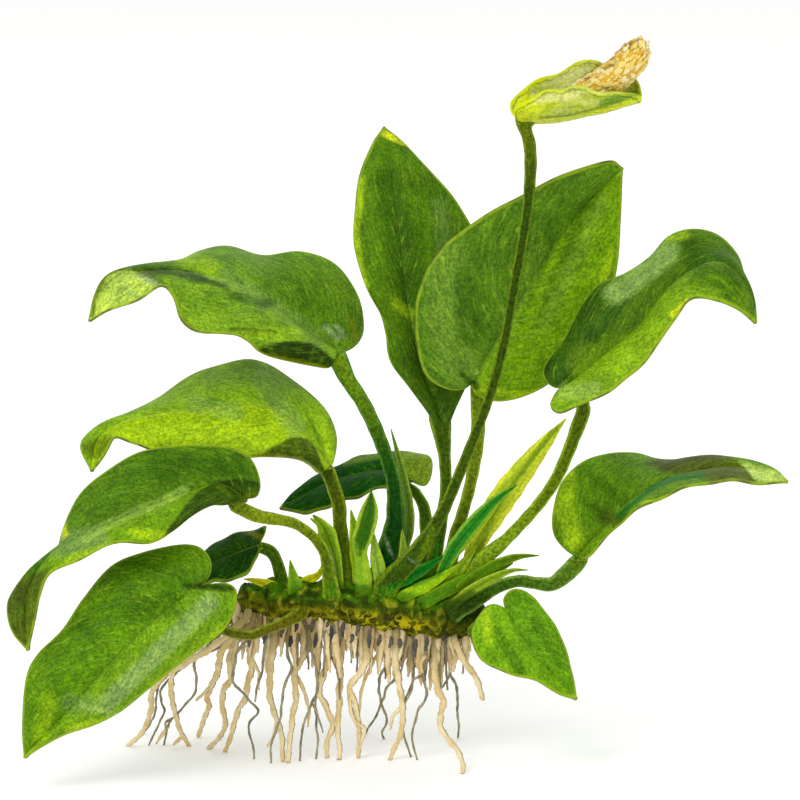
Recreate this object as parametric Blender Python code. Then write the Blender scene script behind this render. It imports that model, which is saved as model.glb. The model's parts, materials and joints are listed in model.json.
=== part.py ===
"""A flowering anubias with bare roots, standing on its wiry root mat. Metres, +Z up, front towards -Y.

Every curve is written in millimetres as (across, up, depth). Across and up are read on an upright drawing
plane through the middle of the plant, as seen from the front, and depth moves the point away from the
viewer along the line of sight, so that the plant keeps its drawn outline.
"""

import math

import bmesh
import bpy
from mathutils import Vector
from mathutils.bvhtree import BVHTree

MM = 0.001
VIEW_DISTANCE = 888.9            # mm, from the eye to the middle of the plant
VIEW_RISE = math.radians(8)      # the eye looks down by this much
VIEW_HEIGHT = 73.0               # mm, the height that the eye looks at

GAP = 0.3                        # mm, between pieces that touch
BLADE_THICKNESS = 0.9            # mm, at the midrib
BLADE_ROWS = 12                  # cross sections from the sinus to the tip
HALF_COLUMNS = 3                 # faces from the midrib to the margin
LOBE_EASE = 1.6                  # above 1, the veins of the base fan out into the lobes
SPATHE_THICKNESS = 0.7           # mm
STALK_SIDES = 8
STALK_STEP = 3.6                 # mm, between the rings of a stalk
ROOT_SIDES = 5
ROOT_STEP = 4.2                  # mm, between the rings of a root
RHIZOME_RINGS = 30
RHIZOME_SIDES = 16

GREEN = (0.085, 0.21, 0.008)
BRIGHT_GREEN = (0.2, 0.38, 0.012)
DEEP_GREEN = (0.018, 0.085, 0.006)
STALK_GREEN = (0.07, 0.12, 0.006)
OLIVE = (0.07, 0.10, 0.006)
ROOT_TAN = (0.62, 0.52, 0.27)
ROOT_GREY = (0.33, 0.31, 0.27)
SPATHE_YELLOW = (0.56, 0.60, 0.09)
SPADIX_CREAM = (0.78, 0.54, 0.15)

EYE_AHEAD = Vector((0, math.cos(VIEW_RISE), -math.sin(VIEW_RISE)))
EYE_UP = Vector((0, math.sin(VIEW_RISE), math.cos(VIEW_RISE)))
LOOKED_AT = Vector((-0.5, 1.4, VIEW_HEIGHT))
EYE = LOOKED_AT - EYE_AHEAD * VIEW_DISTANCE

# Each leaf: rib from the sinus to the tip, then the margins left and right of it, all seen with the upper
# face up; crown bulges each half, and a fold moves the middle of a half as far as fold_reach of its length.
LEAVES = {
    "leaf_upper_left": {
        "rib": [(-13, 83, 6), (-20, 87.6, 5), (-27, 93, 4), (-35, 97, 3), (-45, 98.2, 2), (-52, 98.2, 0),
                (-58, 96.4, -2), (-62, 88.8, -5)],
        "left": [(-13, 83, 6), (-14, 79.8, 2.4), (-17, 79.8, 1), (-23, 81.2, -1), (-28, 82.5, -4),
                 (-30.4, 84.9, -6), (-33, 86.3, -8), (-40, 86.4, -9), (-43.6, 89.2, -9), (-45.4, 93.6, -8),
                 (-48, 95.6, -8), (-52.6, 93, -8), (-58.6, 90.8, -7), (-62, 88.8, -5)],
        "right": [(-13, 83, 6), (-11, 82.8, 8), (-8.4, 84.6, 11), (-7.4, 88, 13), (-8.8, 94.2, 16),
                  (-13, 100.2, 18), (-20, 102.4, 19), (-27, 101.9, 19), (-34, 103.5, 18), (-40, 102.6, 15),
                  (-45.6, 100.4, 11), (-52, 99.1, 6), (-58.4, 97.6, 0), (-61, 93.6, -4), (-62, 88.8, -5)],
        "crown": 1.6, "fold": {"left": (0, 0, -4)}, "fold_reach": 0.5, "colour": GREEN,
        "stalk": [(-13.6, 82.6, 7.6), (-12.2, 80.8, 6.6), (-10.5, 77.2, 6), (-7.6, 72.8, 6),
                  (-5.2, 68, 5.5), (-3, 62.4, 5), (-1.4, 57, 4), (-0.9, 52, 3), (-1, 48, 2.2),
                  (-2.2, 43.4, 1.6), (-3.8, 37, 1)],
        "widths": (1.3, 1.5, 1.5, 1.45, 1.4, 1.5, 1.9, 2.3, 2.4),
    },
    "leaf_middle_left": {
        "rib": [(-14.4, 60, -1), (-22, 69.4, -1), (-32, 72, -2), (-44, 70.6, -3), (-54, 68.6, -4),
                (-60, 65.4, -5), (-61.6, 58.8, -7)],
        "left": [(-14.4, 60, -1), (-16.2, 58.6, -2.6), (-18, 60, -3.6), (-20.4, 61.2, -4.6),
                 (-24, 61.8, -6), (-28, 61.7, -8), (-32, 61.2, -9), (-40, 61.4, -9), (-48, 62.4, -9),
                 (-53.4, 64.4, -9), (-57, 65.6, -9), (-58.8, 62.4, -8), (-61.6, 58.8, -7)],
        "right": [(-14.4, 60, -1), (-13.6, 60.6, 1), (-12.8, 65.4, 4), (-14.6, 70.2, 6), (-18.4, 74.5, 8),
                  (-22.4, 77.6, 10), (-27.2, 80.1, 12), (-32, 80.9, 12), (-40, 78.5, 11), (-48, 73.7, 8),
                  (-56, 69.2, 2), (-61.4, 67, -2), (-63.8, 63.6, -5), (-61.6, 58.8, -7)],
        "crown": 1.4, "fold": {"left": (0, 0, -3)}, "fold_reach": 0.4, "colour": BRIGHT_GREEN,
        "stalk": [(-14.8, 59.4, 0.6), (-14, 57.6, -0.4), (-13.2, 55.4, -1), (-12.2, 52, -1), (-12, 48, -1),
                  (-11.4, 43.6, -0.8), (-10.2, 36, -0.6)],
        "widths": (1.2, 1.4, 1.4, 1.5, 1.7),
    },
    "leaf_far_left": {
        "rib": [(-31.2, 53.4, -14), (-36, 56, -15), (-42, 54.6, -17), (-50, 51.4, -20), (-60, 46.8, -23),
                (-69, 42.2, -25), (-74, 35, -27), (-74.4, 23, -29)],
        "left": [(-31.2, 53.4, -14), (-35, 52.2, -17), (-38, 52, -19), (-42, 49.8, -22), (-45.6, 46.8, -25),
                 (-49.4, 44.6, -27), (-56, 44.5, -29), (-64, 41.3, -30), (-70, 38, -30), (-72, 34.2, -30),
                 (-73, 29, -30), (-74.4, 23, -29)],
        "right": [(-31.2, 53.4, -14), (-28.6, 54, -13), (-28.2, 57.4, -12.5), (-30.4, 61.6, -12),
                  (-36, 63.6, -12), (-45, 63.6, -12), (-52.4, 62.2, -13), (-59, 58.6, -15),
                  (-63.8, 54, -17), (-67.2, 47.6, -20), (-68.8, 42.4, -22), (-71.8, 38.7, -23.6),
                  (-75.6, 36.4, -25), (-78.4, 32.4, -27), (-77.6, 27, -28), (-74.4, 23, -29)],
        "crown": 1.4, "fold": {"left": (0, 0, -3)}, "fold_reach": 0.5, "colour": GREEN,
        "stalk": [(-33.2, 52.2, -12.2), (-31, 50.9, -12.4), (-28, 49.7, -12), (-22, 48.6, -10),
                  (-19, 47, -8), (-16.4, 44.6, -6.4), (-14.8, 41.4, -5.4), (-13.8, 35, -4.4)],
        "widths": (1.1, 1.3, 1.1, 1.0, 1.1, 1.4),
    },
    "leaf_front_left": {
        "rib": [(-42, 34.8, -24), (-50, 28, -27), (-58, 20, -29), (-67, 10, -31), (-75, 1.6, -32)],
        "left": [(-42, 34.8, -24), (-39, 35.4, -23), (-35, 36.2, -22), (-32.8, 34.6, -22), (-33.6, 30, -23),
                 (-36.4, 26, -24), (-42, 22, -25), (-50, 15.6, -27), (-56, 10.8, -29), (-61, 8.2, -30),
                 (-67, 6.2, -31), (-71.6, 3.8, -32), (-75, 1.6, -32)],
        "right": [(-42, 34.8, -24), (-39.4, 36.6, -22.5), (-38, 38.6, -21), (-38.2, 41.4, -20),
                  (-40.6, 43.6, -19.5), (-45, 43.8, -19), (-52, 42.2, -20), (-58, 39.4, -21),
                  (-63.4, 33, -23), (-67.4, 27, -25), (-72.4, 22, -27), (-74.7, 17, -29), (-75.4, 8, -31),
                  (-75, 1.6, -32)],
        "crown": 2.2, "fold": {}, "fold_reach": 0.4, "colour": BRIGHT_GREEN,
        "stalk": [(-43, 34.6, -22.6), (-41.2, 32.8, -21.8), (-39.2, 30.6, -21), (-35.6, 27.2, -20),
                  (-30.4, 26, -16), (-27, 27, -12), (-23, 28.6, -8), (-20, 30.4, -4)],
        "widths": (0.8, 1.0, 1.0, 1.0, 1.2),
    },
    "leaf_small_left": {
        "rib": [(-28.4, 43.8, 0), (-33, 42, 1), (-39, 39.6, 2), (-47, 36, 3)],
        "left": [(-28.4, 43.8, 0), (-28.6, 41.6, -1), (-31.4, 37.8, -2), (-37, 36.6, -2), (-42, 35.6, 0),
                 (-47, 36, 3)],
        "right": [(-28.4, 43.8, 0), (-26.8, 47.4, 2), (-28.6, 47, 4), (-34, 45.8, 5), (-37, 44, 6),
                  (-42, 40.6, 5), (-47, 36, 3)],
        "crown": 0.8, "fold": {}, "fold_reach": 0.4, "colour": DEEP_GREEN,
        "stalk": [(-28.8, 43.6, 1.8), (-27.2, 43.3, 1.6), (-25.5, 42.3, 1.8), (-24.3, 39.6, 2),
                  (-23.6, 36, 1.6)],
        "widths": (0.9, 1.1, 1.15, 1.3),
    },
    "leaf_back_centre": {
        "rib": [(1.6, 57, 17), (-4, 58.6, 18), (-10, 57.6, 19), (-16, 55.4, 19), (-23.8, 51.2, 18)],
        "left": [(1.6, 57, 17), (0.4, 54.6, 14), (-3, 55.6, 12), (-8, 53.8, 11), (-13, 52.2, 12),
                 (-18, 50.4, 14), (-23.8, 51.2, 18)],
        "right": [(1.6, 57, 17), (4.8, 56, 18), (6.2, 58.4, 20), (5.6, 61.8, 23), (0, 62.4, 25),
                  (-7, 61.8, 26), (-11, 60, 26), (-15.6, 58.2, 25), (-21, 54.6, 21), (-23.8, 51.2, 18)],
        "crown": 1.2, "fold": {}, "fold_reach": 0.4, "colour": DEEP_GREEN,
        "stalk": [(1, 56, 18.2), (3, 54.6, 16.4), (4.8, 51.4, 13.5), (5.2, 47, 10), (5.2, 41.8, 7),
                  (4.8, 36, 5)],
        "widths": (0.9, 1.3, 1.3, 1.3),
    },
    "leaf_top_left": {
        "rib": [(8.4, 66.4, 8.4), (7.4, 71, 9.6), (4.2, 78.6, 11.3), (1.6, 91, 15), (0, 105, 20),
                (-1.6, 117, 25), (-3.2, 127.4, 30)],
        "left": [(8.4, 66.4, 8.4), (7, 68.4, 8.6), (5.4, 71, 8.8), (1.6, 76, 9.4), (-1.9, 81, 10.4),
                 (-2.8, 86, 11.4), (-4, 90.6, 12.8), (-7.3, 97, 15), (-9, 104, 17.6), (-8.9, 111, 20.6),
                 (-7.9, 118, 24), (-5.4, 124.2, 28), (-3.2, 127.4, 30)],
        "right": [(8.4, 66.4, 8.4), (9.8, 68.6, 9.2), (10.8, 71, 10), (15, 81, 14), (16.4, 92, 18),
                  (15.8, 103, 23), (12.2, 111.2, 26), (6.6, 118, 28), (0.6, 124.4, 30), (-3.2, 127.4, 30)],
        "crown": 1.4, "fold": {}, "fold_reach": 0.4, "colour": GREEN,
        "stalk": [(7.8, 70, 11.2), (8.3, 67.4, 10.6), (8.9, 62, 8.2), (9.2, 56, 6.4), (8.8, 52, 5.2),
                  (7.8, 46, 4), (6.8, 41, 2.6), (6, 36, 1.4)],
        "widths": (1.2, 1.5, 1.2, 1.2, 1.2, 1.4, 1.6),
    },
    "leaf_top_centre": {
        "rib": [(15.4, 78.4, 5), (21, 87.6, 7), (29, 101, 8), (38, 113, 6), (44.4, 119.4, 2)],
        "left": [(15.4, 78.4, 5), (12.8, 75.4, 5), (8.6, 75.6, 4.4), (4.8, 79, 4), (3.2, 88, 4), (4, 95, 4),
                 (8.4, 103.2, 4), (17, 109.7, 4), (24, 113.6, 3), (31, 117.2, 2), (37.4, 119.6, 1),
                 (42.2, 120.7, 1), (44.4, 119.4, 2)],
        "right": [(15.4, 78.4, 5), (15, 74.4, 6), (20.4, 72.9, 6), (28, 75.3, 7), (35, 81, 8), (40, 89, 8),
                  (43, 98, 7.6), (43.9, 108, 5.6), (44.2, 115, 4), (44.4, 119.4, 2)],
        "crown": 1.6, "fold": {}, "fold_reach": 0.4, "colour": GREEN,
        "stalk": [(15.6, 79.6, 7.4), (15.6, 75.6, 8.4), (15.7, 70, 7), (15.4, 64, 5), (14.7, 59.4, 3.8),
                  (13.8, 55, 2.8), (12.4, 50, 1.8), (10.9, 45, 0.9), (9.2, 35, 0)],
        "widths": (1.2, 1.6, 1.4, 1.3, 1.2, 1.2, 1.4, 1.6),
    },
    "leaf_upper_right": {
        "rib": [(33.2, 75.4, -7), (40, 81, -7), (48, 87.6, -7), (55, 96, -7), (63, 100.4, -9),
                (68.6, 96, -12), (71, 88.4, -14)],
        "left": [(33.2, 75.4, -7), (30.6, 75.8, -5.6), (29, 77.4, -4.4), (29.2, 80, -3.6), (33, 85.2, -2),
                 (36, 91, -1), (40, 96, 0), (45, 98.4, 1), (50.4, 101.6, 2), (54, 105.8, 2),
                 (58.4, 107.2, 1), (63.6, 105.8, -1), (67.4, 102, -4), (69, 97, -8), (70.4, 92, -12),
                 (71, 88.4, -14)],
        "right": [(33.2, 75.4, -7), (31.4, 74, -8), (30.2, 71.8, -10), (32.4, 70.5, -11), (37.4, 72.8, -13),
                  (42.4, 75, -14), (46, 78, -15), (49.4, 81.4, -15.6), (52.2, 84.8, -16), (55, 89.6, -16),
                  (58.4, 93.1, -16), (63.6, 92.9, -16), (67.6, 91.2, -16), (71, 88.4, -14)],
        "crown": 1.6, "fold": {}, "fold_reach": 0.4, "colour": GREEN,
        "stalk": [(33.6, 75.6, -5.6), (35.6, 73.6, -5.2), (36.7, 71.2, -5), (35.3, 67, -5),
                  (33.4, 62, -4.6), (31.2, 57.2, -4.2), (28.4, 53, -3.8), (24.8, 48.8, -3.2),
                  (20.7, 44.6, -2.6), (16.6, 41, -2), (12.8, 35, -1.2)],
        "widths": (1.0, 1.5, 1.3, 1.25, 1.2, 1.2, 1.2, 1.7, 2.0),
    },
    "leaf_lower_right": {
        "rib": [(35.6, 41.6, 1), (39.4, 45, 2), (44, 50, 3), (48, 53.2, 3.4), (53, 56.2, 3.4), (59, 58, 3),
                (67, 59.2, 1), (77.4, 56.6, -4)],
        "left": [(35.6, 41.6, 1), (33, 43.4, 2), (30.8, 46.4, 3), (30.8, 51, 5), (32.4, 56.6, 8),
                 (36.6, 60.3, 12), (42, 62.4, 15), (47, 62.2, 17), (52, 60.9, 17), (59, 61.5, 15),
                 (66, 61.4, 9), (72, 60.1, 3), (75.4, 58.7, -1), (77.4, 56.6, -4)],
        "right": [(35.6, 41.6, 1), (37.8, 41.8, -2), (42.2, 46.5, -5), (45.6, 49.6, -8), (49.2, 52, -10),
                  (53.8, 54.1, -11), (60, 56.1, -11), (66, 56.8, -10), (72, 56.2, -7), (77.4, 56.6, -4)],
        "crown": 1.4, "fold": {}, "fold_reach": 0.4, "colour": GREEN,
        "stalk": [(36.2, 41.2, 2.6), (34.8, 39.8, 1.6), (33.2, 38.2, 0), (30.4, 36.2, -1.6), (27, 36.4, -3),
                  (24, 36.8, -4.4), (21, 36.2, -5.4), (18, 34.8, -6), (15, 33, -6), (11, 31, -4)],
        "widths": (1.2, 1.6, 1.5, 1.3, 1.25, 1.25, 1.4, 1.8, 2.0),
    },
    "leaf_front_right": {
        "rib": [(21.6, 30.2, -14), (24.4, 25, -15), (29, 19.4, -17), (35.2, 13.2, -19)],
        "left": [(21.6, 30.2, -14), (20.8, 33.2, -12), (22.6, 35, -11), (25.4, 34.4, -11), (29, 30.6, -12),
                 (32.4, 25, -14), (34.4, 18, -17), (35.2, 13.2, -19)],
        "right": [(21.6, 30.2, -14), (19, 32, -14), (16.8, 31, -14.6), (14.4, 26.6, -16), (16, 21.6, -17),
                  (21, 18.6, -18), (27, 17, -19), (32, 14.2, -19), (35.2, 13.2, -19)],
        "crown": 1.0, "fold": {}, "fold_reach": 0.4, "colour": BRIGHT_GREEN,
        "stalk": [(22, 29.8, -12.8), (20.6, 30.6, -12), (18.6, 31, -10.6), (16.4, 29.4, -8.4),
                  (14.6, 27, -4)],
        "widths": (0.7, 0.8, 0.9),
    },
}

# Young leaves and sheaths: a line from the tip to the base, half widths along it, and flatness.
YOUNG_LEAVES = {
    "young_leaf_slim": {
        "line": [(-1.8, 67.2, 9.5), (-0.4, 62, 9.2), (0.8, 57, 9), (1.7, 52, 8.4), (1.8, 47.6, 7.4),
                 (0.6, 43, 6), (-1.6, 36, 4.6)],
        "widths": (0.1, 0.7, 1.0, 1.1, 1.1, 1.0), "flatness": 0.8, "colour": GREEN},
    "young_leaf_oval": {
        "line": [(-5.7, 54.9, -3.6), (-6.1, 51, -4), (-7, 47.2, -4.2), (-8, 43.6, -4.2), (-7.6, 40, -4),
                 (-7.2, 35, -3.8)],
        "widths": (0.1, 1.7, 2.1, 2.0, 1.3, 1.7, 1.8, 1.4), "flatness": 0.45, "colour": DEEP_GREEN},
    "young_leaf_yellow": {
        "line": [(33.2, 69.3, -1), (29.2, 64.6, -0.6), (25.5, 60, 0), (21.8, 54.6, 0.6), (18.8, 49.4, 1.2),
                 (16, 42, 1.6), (14.2, 35, 1.6)],
        "widths": (0.1, 1.4, 2.2, 2.7, 2.6, 1.9, 1.3, 1.2), "flatness": 0.5, "colour": SPATHE_YELLOW},
    "young_leaf_green": {
        "line": [(23.4, 56, -4), (19.4, 53.2, -4.2), (15.5, 49.2, -4.4), (12.2, 45.2, -4.4),
                 (9.6, 41.2, -4.2), (7.4, 36, -3.6)],
        "widths": (0.1, 1.1, 1.6, 1.6, 1.2, 0.9), "flatness": 0.5, "colour": DEEP_GREEN},
    "sheath_right_upper": {
        "line": [(27.8, 41.9, -6), (24, 41.7, -6.2), (20, 40.5, -6), (16, 38.2, -5.6), (12, 35, -4.8)],
        "widths": (0.1, 0.8, 1.2, 1.4, 1.2), "flatness": 0.5, "colour": BRIGHT_GREEN},
    "sheath_right_lower": {
        "line": [(25.6, 39, -8.6), (22.4, 38.9, -9), (18.6, 37.4, -9), (14.6, 35.2, -8.4), (10.6, 32, -7)],
        "widths": (0.1, 0.9, 1.1, 1.1), "flatness": 0.5, "colour": BRIGHT_GREEN},
    "sheath_left": {
        "line": [(-17.4, 50, -3.6), (-15.6, 48, -3.5), (-14.2, 45.2, -3.3), (-13, 41.4, -3),
                 (-12.2, 36, -2.6)],
        "widths": (0.2, 1.9, 1.4, 1.0, 0.9), "flatness": 0.3, "colour": BRIGHT_GREEN},
    "bract_left": {
        "line": [(-22, 41, -3.6), (-21.6, 38.9, -3.4), (-20.8, 35, -3.2)],
        "widths": (0.1, 1.4, 2.3), "flatness": 0.4, "colour": GREEN},
}

FLOWER_STALK = [(25, 127.5, -4), (25.9, 124.2, -4), (26.1, 119, -4), (25.3, 110, -3.6), (22.9, 96, -3.2),
                (20.7, 84, -3), (18, 74, -3), (13.8, 63, -3.6), (9.2, 52, -4.4), (6, 46.4, -4.8),
                (2.4, 41.4, -5), (-1.2, 34, -4.4)]
FLOWER_STALK_WIDTHS = (1.7, 1.25, 1.05, 1.0, 0.95, 0.95, 1.0, 1.0, 1.05, 1.15, 1.4, 2.2, 2.4)

SPATHE = {
    "rib": [(25.4, 129, -4), (32, 129.2, -4), (40, 131, -4), (45, 132.6, -4.4), (48, 133.6, -5)],
    "left": [(25.4, 129, -4), (22.6, 130.2, -2), (22.4, 132.6, 0), (25.6, 135.8, 2), (31, 138.2, 4),
             (38, 141, 5), (41.4, 139.6, 5), (44, 138, 4), (46.4, 136.6, 1), (47.6, 135.2, -2),
             (48, 133.6, -5)],
    "right": [(25.4, 129, -4), (23.4, 129.4, -6), (23.4, 131.4, -8), (28, 134.2, -10), (35, 135.6, -11),
              (41, 134.6, -11), (45.4, 135, -8.4), (48, 133.6, -5)],
    "crown": 0, "fold": {"left": (0, -1.6, 2), "right": (0, -1.6, -2)}, "fold_reach": 1.2,
    "colour": SPATHE_YELLOW,
}
SPADIX_LINE = [(30.4, 132.5, -4), (35, 133.8, -3.8), (39.8, 135.7, -3.6), (43.6, 138.2, -3.4),
               (46.6, 141.6, -3.4), (48.4, 144.8, -3.4)]
SPADIX_RADIUS = 3.15             # mm
SPADIX_RINGS = 15
SPADIX_SIDES = 12
FLORET_HEIGHT = 0.28             # mm, how far the florets stand out

RHIZOME_LINE = [(-32.4, 33, 0.6), (-26, 33.2, 0.4), (-19, 33.2, 0), (-11, 32.6, -0.4), (-3, 31.8, -0.4),
                (5, 31, 0), (11, 30.2, 0.2), (17, 29.2, 0)]
RHIZOME_WIDTHS = (2.8, 3.9, 3.9, 4.2, 4.6, 5.2, 5.2, 3.2)
SCAR_HEIGHT = 0.25               # mm, of the rings that fallen leaves left
SCAR_COUNT = 9
LUMP_HEIGHT = 0.4                # mm, of the nodules on the underside

# Roots: the depth at which each leaves the rhizome, and how it runs on the drawing plane, in mm.
# Thick tan roots and thin grey ones take turns. A landing root ends on the floor, and a hanging one ends at
# the depth given second.
LANDING_ROOTS = [
    (1, [(-32.4, 31), (-39, 25.4), (-45.6, 19.4), (-49.6, 14.6), (-49.8, 11.4), (-50.8, 8.2),
         (-52.2, 5.8), (-54.6, 3.8)]),
    (3, [(-32, 30.6), (-38, 25), (-44.4, 20), (-48.4, 15.6), (-48.8, 11.4), (-50, 8.2), (-51.4, 6.4)]),
    (-3.6, [(-30.8, 29.4), (-37, 24), (-42.4, 20.6), (-45.4, 18.6), (-45.8, 15.8), (-45.6, 13),
            (-44.8, 9.8), (-44, 7), (-42.2, 3.8)]),
    (0.5, [(-31.6, 30), (-37.6, 24.6), (-43.6, 19.4), (-47.4, 15.8), (-47.8, 13), (-47.2, 11), (-47.8, 9),
           (-49, 6.6), (-50.2, 4)]),
    (-1.8, [(-29.6, 28.2), (-33.8, 25), (-36, 22), (-36.4, 18.6), (-37.8, 15.8), (-38.6, 13.6),
            (-38.2, 11.8), (-39.4, 8.8), (-40.4, 5.6)]),
    (3, [(-30, 29), (-35.6, 24), (-40.8, 21), (-40.8, 17.4), (-41.2, 14.2), (-43.6, 11.4), (-46, 8.6),
         (-46.8, 6), (-47.2, 4)]),
    (2, [(-28.8, 27.8), (-32.8, 24.6), (-34, 21), (-33.8, 17.4), (-35.2, 15), (-35.6, 12), (-35, 9),
         (-35.6, 6.2), (-38.4, 3.2)]),
    (-3.4, [(-28.4, 27.8), (-31.4, 24), (-32.8, 22), (-33.2, 19.4), (-33.6, 17), (-32, 14.8), (-30.2, 13),
            (-28.4, 10.8), (-30, 8.6), (-30.2, 6.6), (-29.4, 4), (-29.2, 1.2)]),
    (0.4, [(-27.4, 27.8), (-29.6, 25), (-30, 21.8), (-29.6, 19.4), (-30.4, 16.6), (-30.8, 13.8),
           (-32.2, 11.2), (-33.2, 8.2), (-34, 5.2), (-35, 2.6)]),
    (-3.4, [(-22.2, 26.6), (-22.6, 22.6), (-21.6, 19.2), (-23, 16.4), (-23.6, 13), (-23.8, 9.8),
            (-24.8, 7), (-25.8, 3.8), (-25.8, 0.4)]),
    (-0.2, [(-25, 26.6), (-25.6, 22.6), (-26, 18.6), (-26.2, 15), (-25.6, 11.8), (-24.6, 9), (-23.7, 6.2),
            (-23.5, 3.4), (-23.4, 0.6)]),
    (-2.6, [(-18.2, 25), (-17.4, 21.8), (-16.6, 18.6), (-16.4, 15.4), (-17.6, 12.4), (-19, 9), (-19.8, 5),
            (-20, 0.8)]),
    (2, [(-19.4, 25.8), (-19.2, 22.2), (-20.4, 20), (-21.2, 18.2), (-20.8, 15.4), (-21, 12.2), (-21.6, 9),
         (-22, 5), (-22.4, 0.4)]),
    (3.4, [(-16, 25.8), (-16.2, 21), (-16.4, 16.6), (-16.8, 13), (-16.8, 9), (-16.4, 5), (-16.8, 1.2)]),
    (0.6, [(-13.8, 25.8), (-14, 22.6), (-14.8, 19.4), (-16, 16.6), (-16.2, 14.6), (-15, 12), (-13.8, 9.4),
           (-13.6, 7.2), (-14.6, 5), (-14.6, 3), (-14.6, 1.4)]),
    (1.4, [(-2.6, 25), (-2, 22.2), (-2.8, 19.8), (-4, 17.8), (-4.2, 15), (-3.6, 12), (-2.6, 9),
           (-3.6, 6.6), (-3.2, 5.2)]),
    (2.4, [(-11.8, 25.8), (-12, 21), (-12, 16), (-12.2, 12), (-12.4, 8.6), (-12.4, 5.4), (-12, 3),
           (-12.2, 1)]),
    (3.6, [(2, 25), (1.6, 22.6), (0.4, 20.6), (-1, 19), (-1.2, 17), (-2.6, 15.4), (-3.4, 13),
           (-4.6, 10.2), (-6.2, 7.6), (-6.8, 6.4)]),
    (-2.6, [(-6.8, 25), (-6.6, 21.4), (-7.8, 18.6), (-9.6, 16.6), (-10, 14.8), (-9, 12.2), (-8.4, 9.4),
            (-8.2, 6), (-8.4, 1.4)]),
    (0, [(3, 24), (2.8, 20), (2.4, 16), (1, 13), (0.6, 9.4), (0.6, 6.4), (1.4, 4), (2.2, 1.6)]),
    (-2.6, [(-0.8, 25.8), (-1, 22), (-0.4, 18.6), (0, 15), (0.4, 11.8), (0.4, 8.6), (0.2, 6), (-0.8, 4),
            (-2, 1)]),
    (-3.2, [(5.2, 25), (5.2, 21), (4.6, 17.8), (5.4, 14.6), (4.8, 12.6), (3.6, 11), (3, 8.6), (2.4, 6),
            (2.8, 3.4), (3.4, 1)]),
    (-1, [(6.9, 25), (6.9, 21.4), (7, 17.8), (7.6, 15), (8.8, 12.6), (8, 9.8), (8.2, 7.4), (9.8, 5),
          (11.6, 2.6), (12.6, 0.2), (12.4, -1.8)]),
    (1.6, [(9, 25), (9.6, 21.4), (10.2, 18.2), (11.2, 15.8), (11.6, 13.4), (11.4, 10.6), (11.8, 7.8),
           (11.6, 5.4)]),
]
HANGING_ROOTS = [
    (-2.4, -8, [(11, 25), (12.2, 22.2), (13.8, 19.4), (15.4, 16.8), (16.2, 14.6), (16.6, 13)]),
    (-3.2, -8, [(-26.4, 26.6), (-27.2, 23), (-27.6, 19), (-28.6, 15.4), (-29, 12.6)]),
]
TAN_WIDTHS = (0.7, 0.45)         # mm, half widths at the rhizome and at the tip
GREY_WIDTHS = (0.45, 0.36)
ROOT_SPREAD = 1.3                # above 1, the roots leave straight down and spread lower down

SPLINE_STEPS = 12                # points computed between two given ones
SEAM_RINGS = 3                   # rings of a stalk that give way to the rhizome


def on_sight_line(across, up):
    """A direction from the eye through this point of the drawing."""
    return LOOKED_AT + Vector((across, 0, 0)) + EYE_UP * (up - VIEW_HEIGHT) - EYE


def seen(across, up, depth):
    """The place of a point of the drawing that lies at this depth."""
    sight = on_sight_line(across, up)
    return EYE + sight * ((LOOKED_AT.y + depth - EYE.y) / sight.y)


def depth_on_floor(across, up):
    """How deep the floor lies where it is drawn at this point."""
    sight = on_sight_line(across, up)
    return (EYE + sight * (-EYE.z / sight.z)).y - LOOKED_AT.y


def placed(points):
    return [seen(*point) for point in points]


def line_length(line):
    return sum((end - start).length for start, end in zip(line, line[1:]))


def smooth_line(points, count):
    """Evenly spaced points on a smooth curve through the given ones."""
    ends = [points[0] * 2 - points[1]] + list(points) + [points[-1] * 2 - points[-2]]
    fine = []
    for before, start, end, after in zip(ends, ends[1:], ends[2:], ends[3:]):
        for step in range(SPLINE_STEPS):
            t = step / SPLINE_STEPS
            fine.append(0.5 * (2 * start + (end - before) * t
                               + (2 * before - 5 * start + 4 * end - after) * t ** 2
                               + (3 * start - before - 3 * end + after) * t ** 3))
    fine.append(points[-1])
    reach = [0.0]
    for start, end in zip(fine, fine[1:]):
        reach.append(reach[-1] + (end - start).length)
    line = []
    piece = 0
    for index in range(count):
        goal = reach[-1] * index / (count - 1)
        while piece < len(fine) - 2 and reach[piece + 1] < goal:
            piece += 1
        share = (goal - reach[piece]) / (reach[piece + 1] - reach[piece])
        line.append(fine[piece].lerp(fine[piece + 1], min(share, 1.0)))
    return line


def value_at(values, share):
    """A number read between the listed ones, which are spread evenly from share 0 to share 1."""
    place = share * (len(values) - 1)
    low = min(int(place), len(values) - 2)
    return values[low] + (values[low + 1] - values[low]) * (place - low)


def point_at(line, share):
    place = share * (len(line) - 1)
    low = min(int(place), len(line) - 2)
    return line[low].lerp(line[low + 1], place - low)


def add_object(name, points, faces, colour, roughness):
    """One closed piece from points in millimetres, with a material of its own."""
    mesh = bpy.data.meshes.new(name)
    mesh.from_pydata([point * MM for point in points], [], faces)
    shape = bmesh.new()
    shape.from_mesh(mesh)
    bmesh.ops.recalc_face_normals(shape, faces=shape.faces)
    shape.to_mesh(mesh)
    shape.free()
    mesh.shade_smooth()
    finish = bpy.data.materials.new(name)
    finish.use_nodes = True
    shader = finish.node_tree.nodes["Principled BSDF"]
    shader.inputs["Base Color"].default_value = (*colour, 1)
    shader.inputs["Roughness"].default_value = roughness
    shader.inputs["Metallic"].default_value = 0
    mesh.materials.append(finish)
    bpy.context.collection.objects.link(bpy.data.objects.new(name, mesh))


def sides_of(line, index):
    """The unit vectors across a line, in the drawing plane and in depth, at one of its points."""
    ahead = line[min(index + 1, len(line) - 1)] - line[max(index - 1, 0)]
    aside = ahead.cross(Vector((0, 1, 0))).normalized()
    return aside, aside.cross(ahead).normalized()


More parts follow.
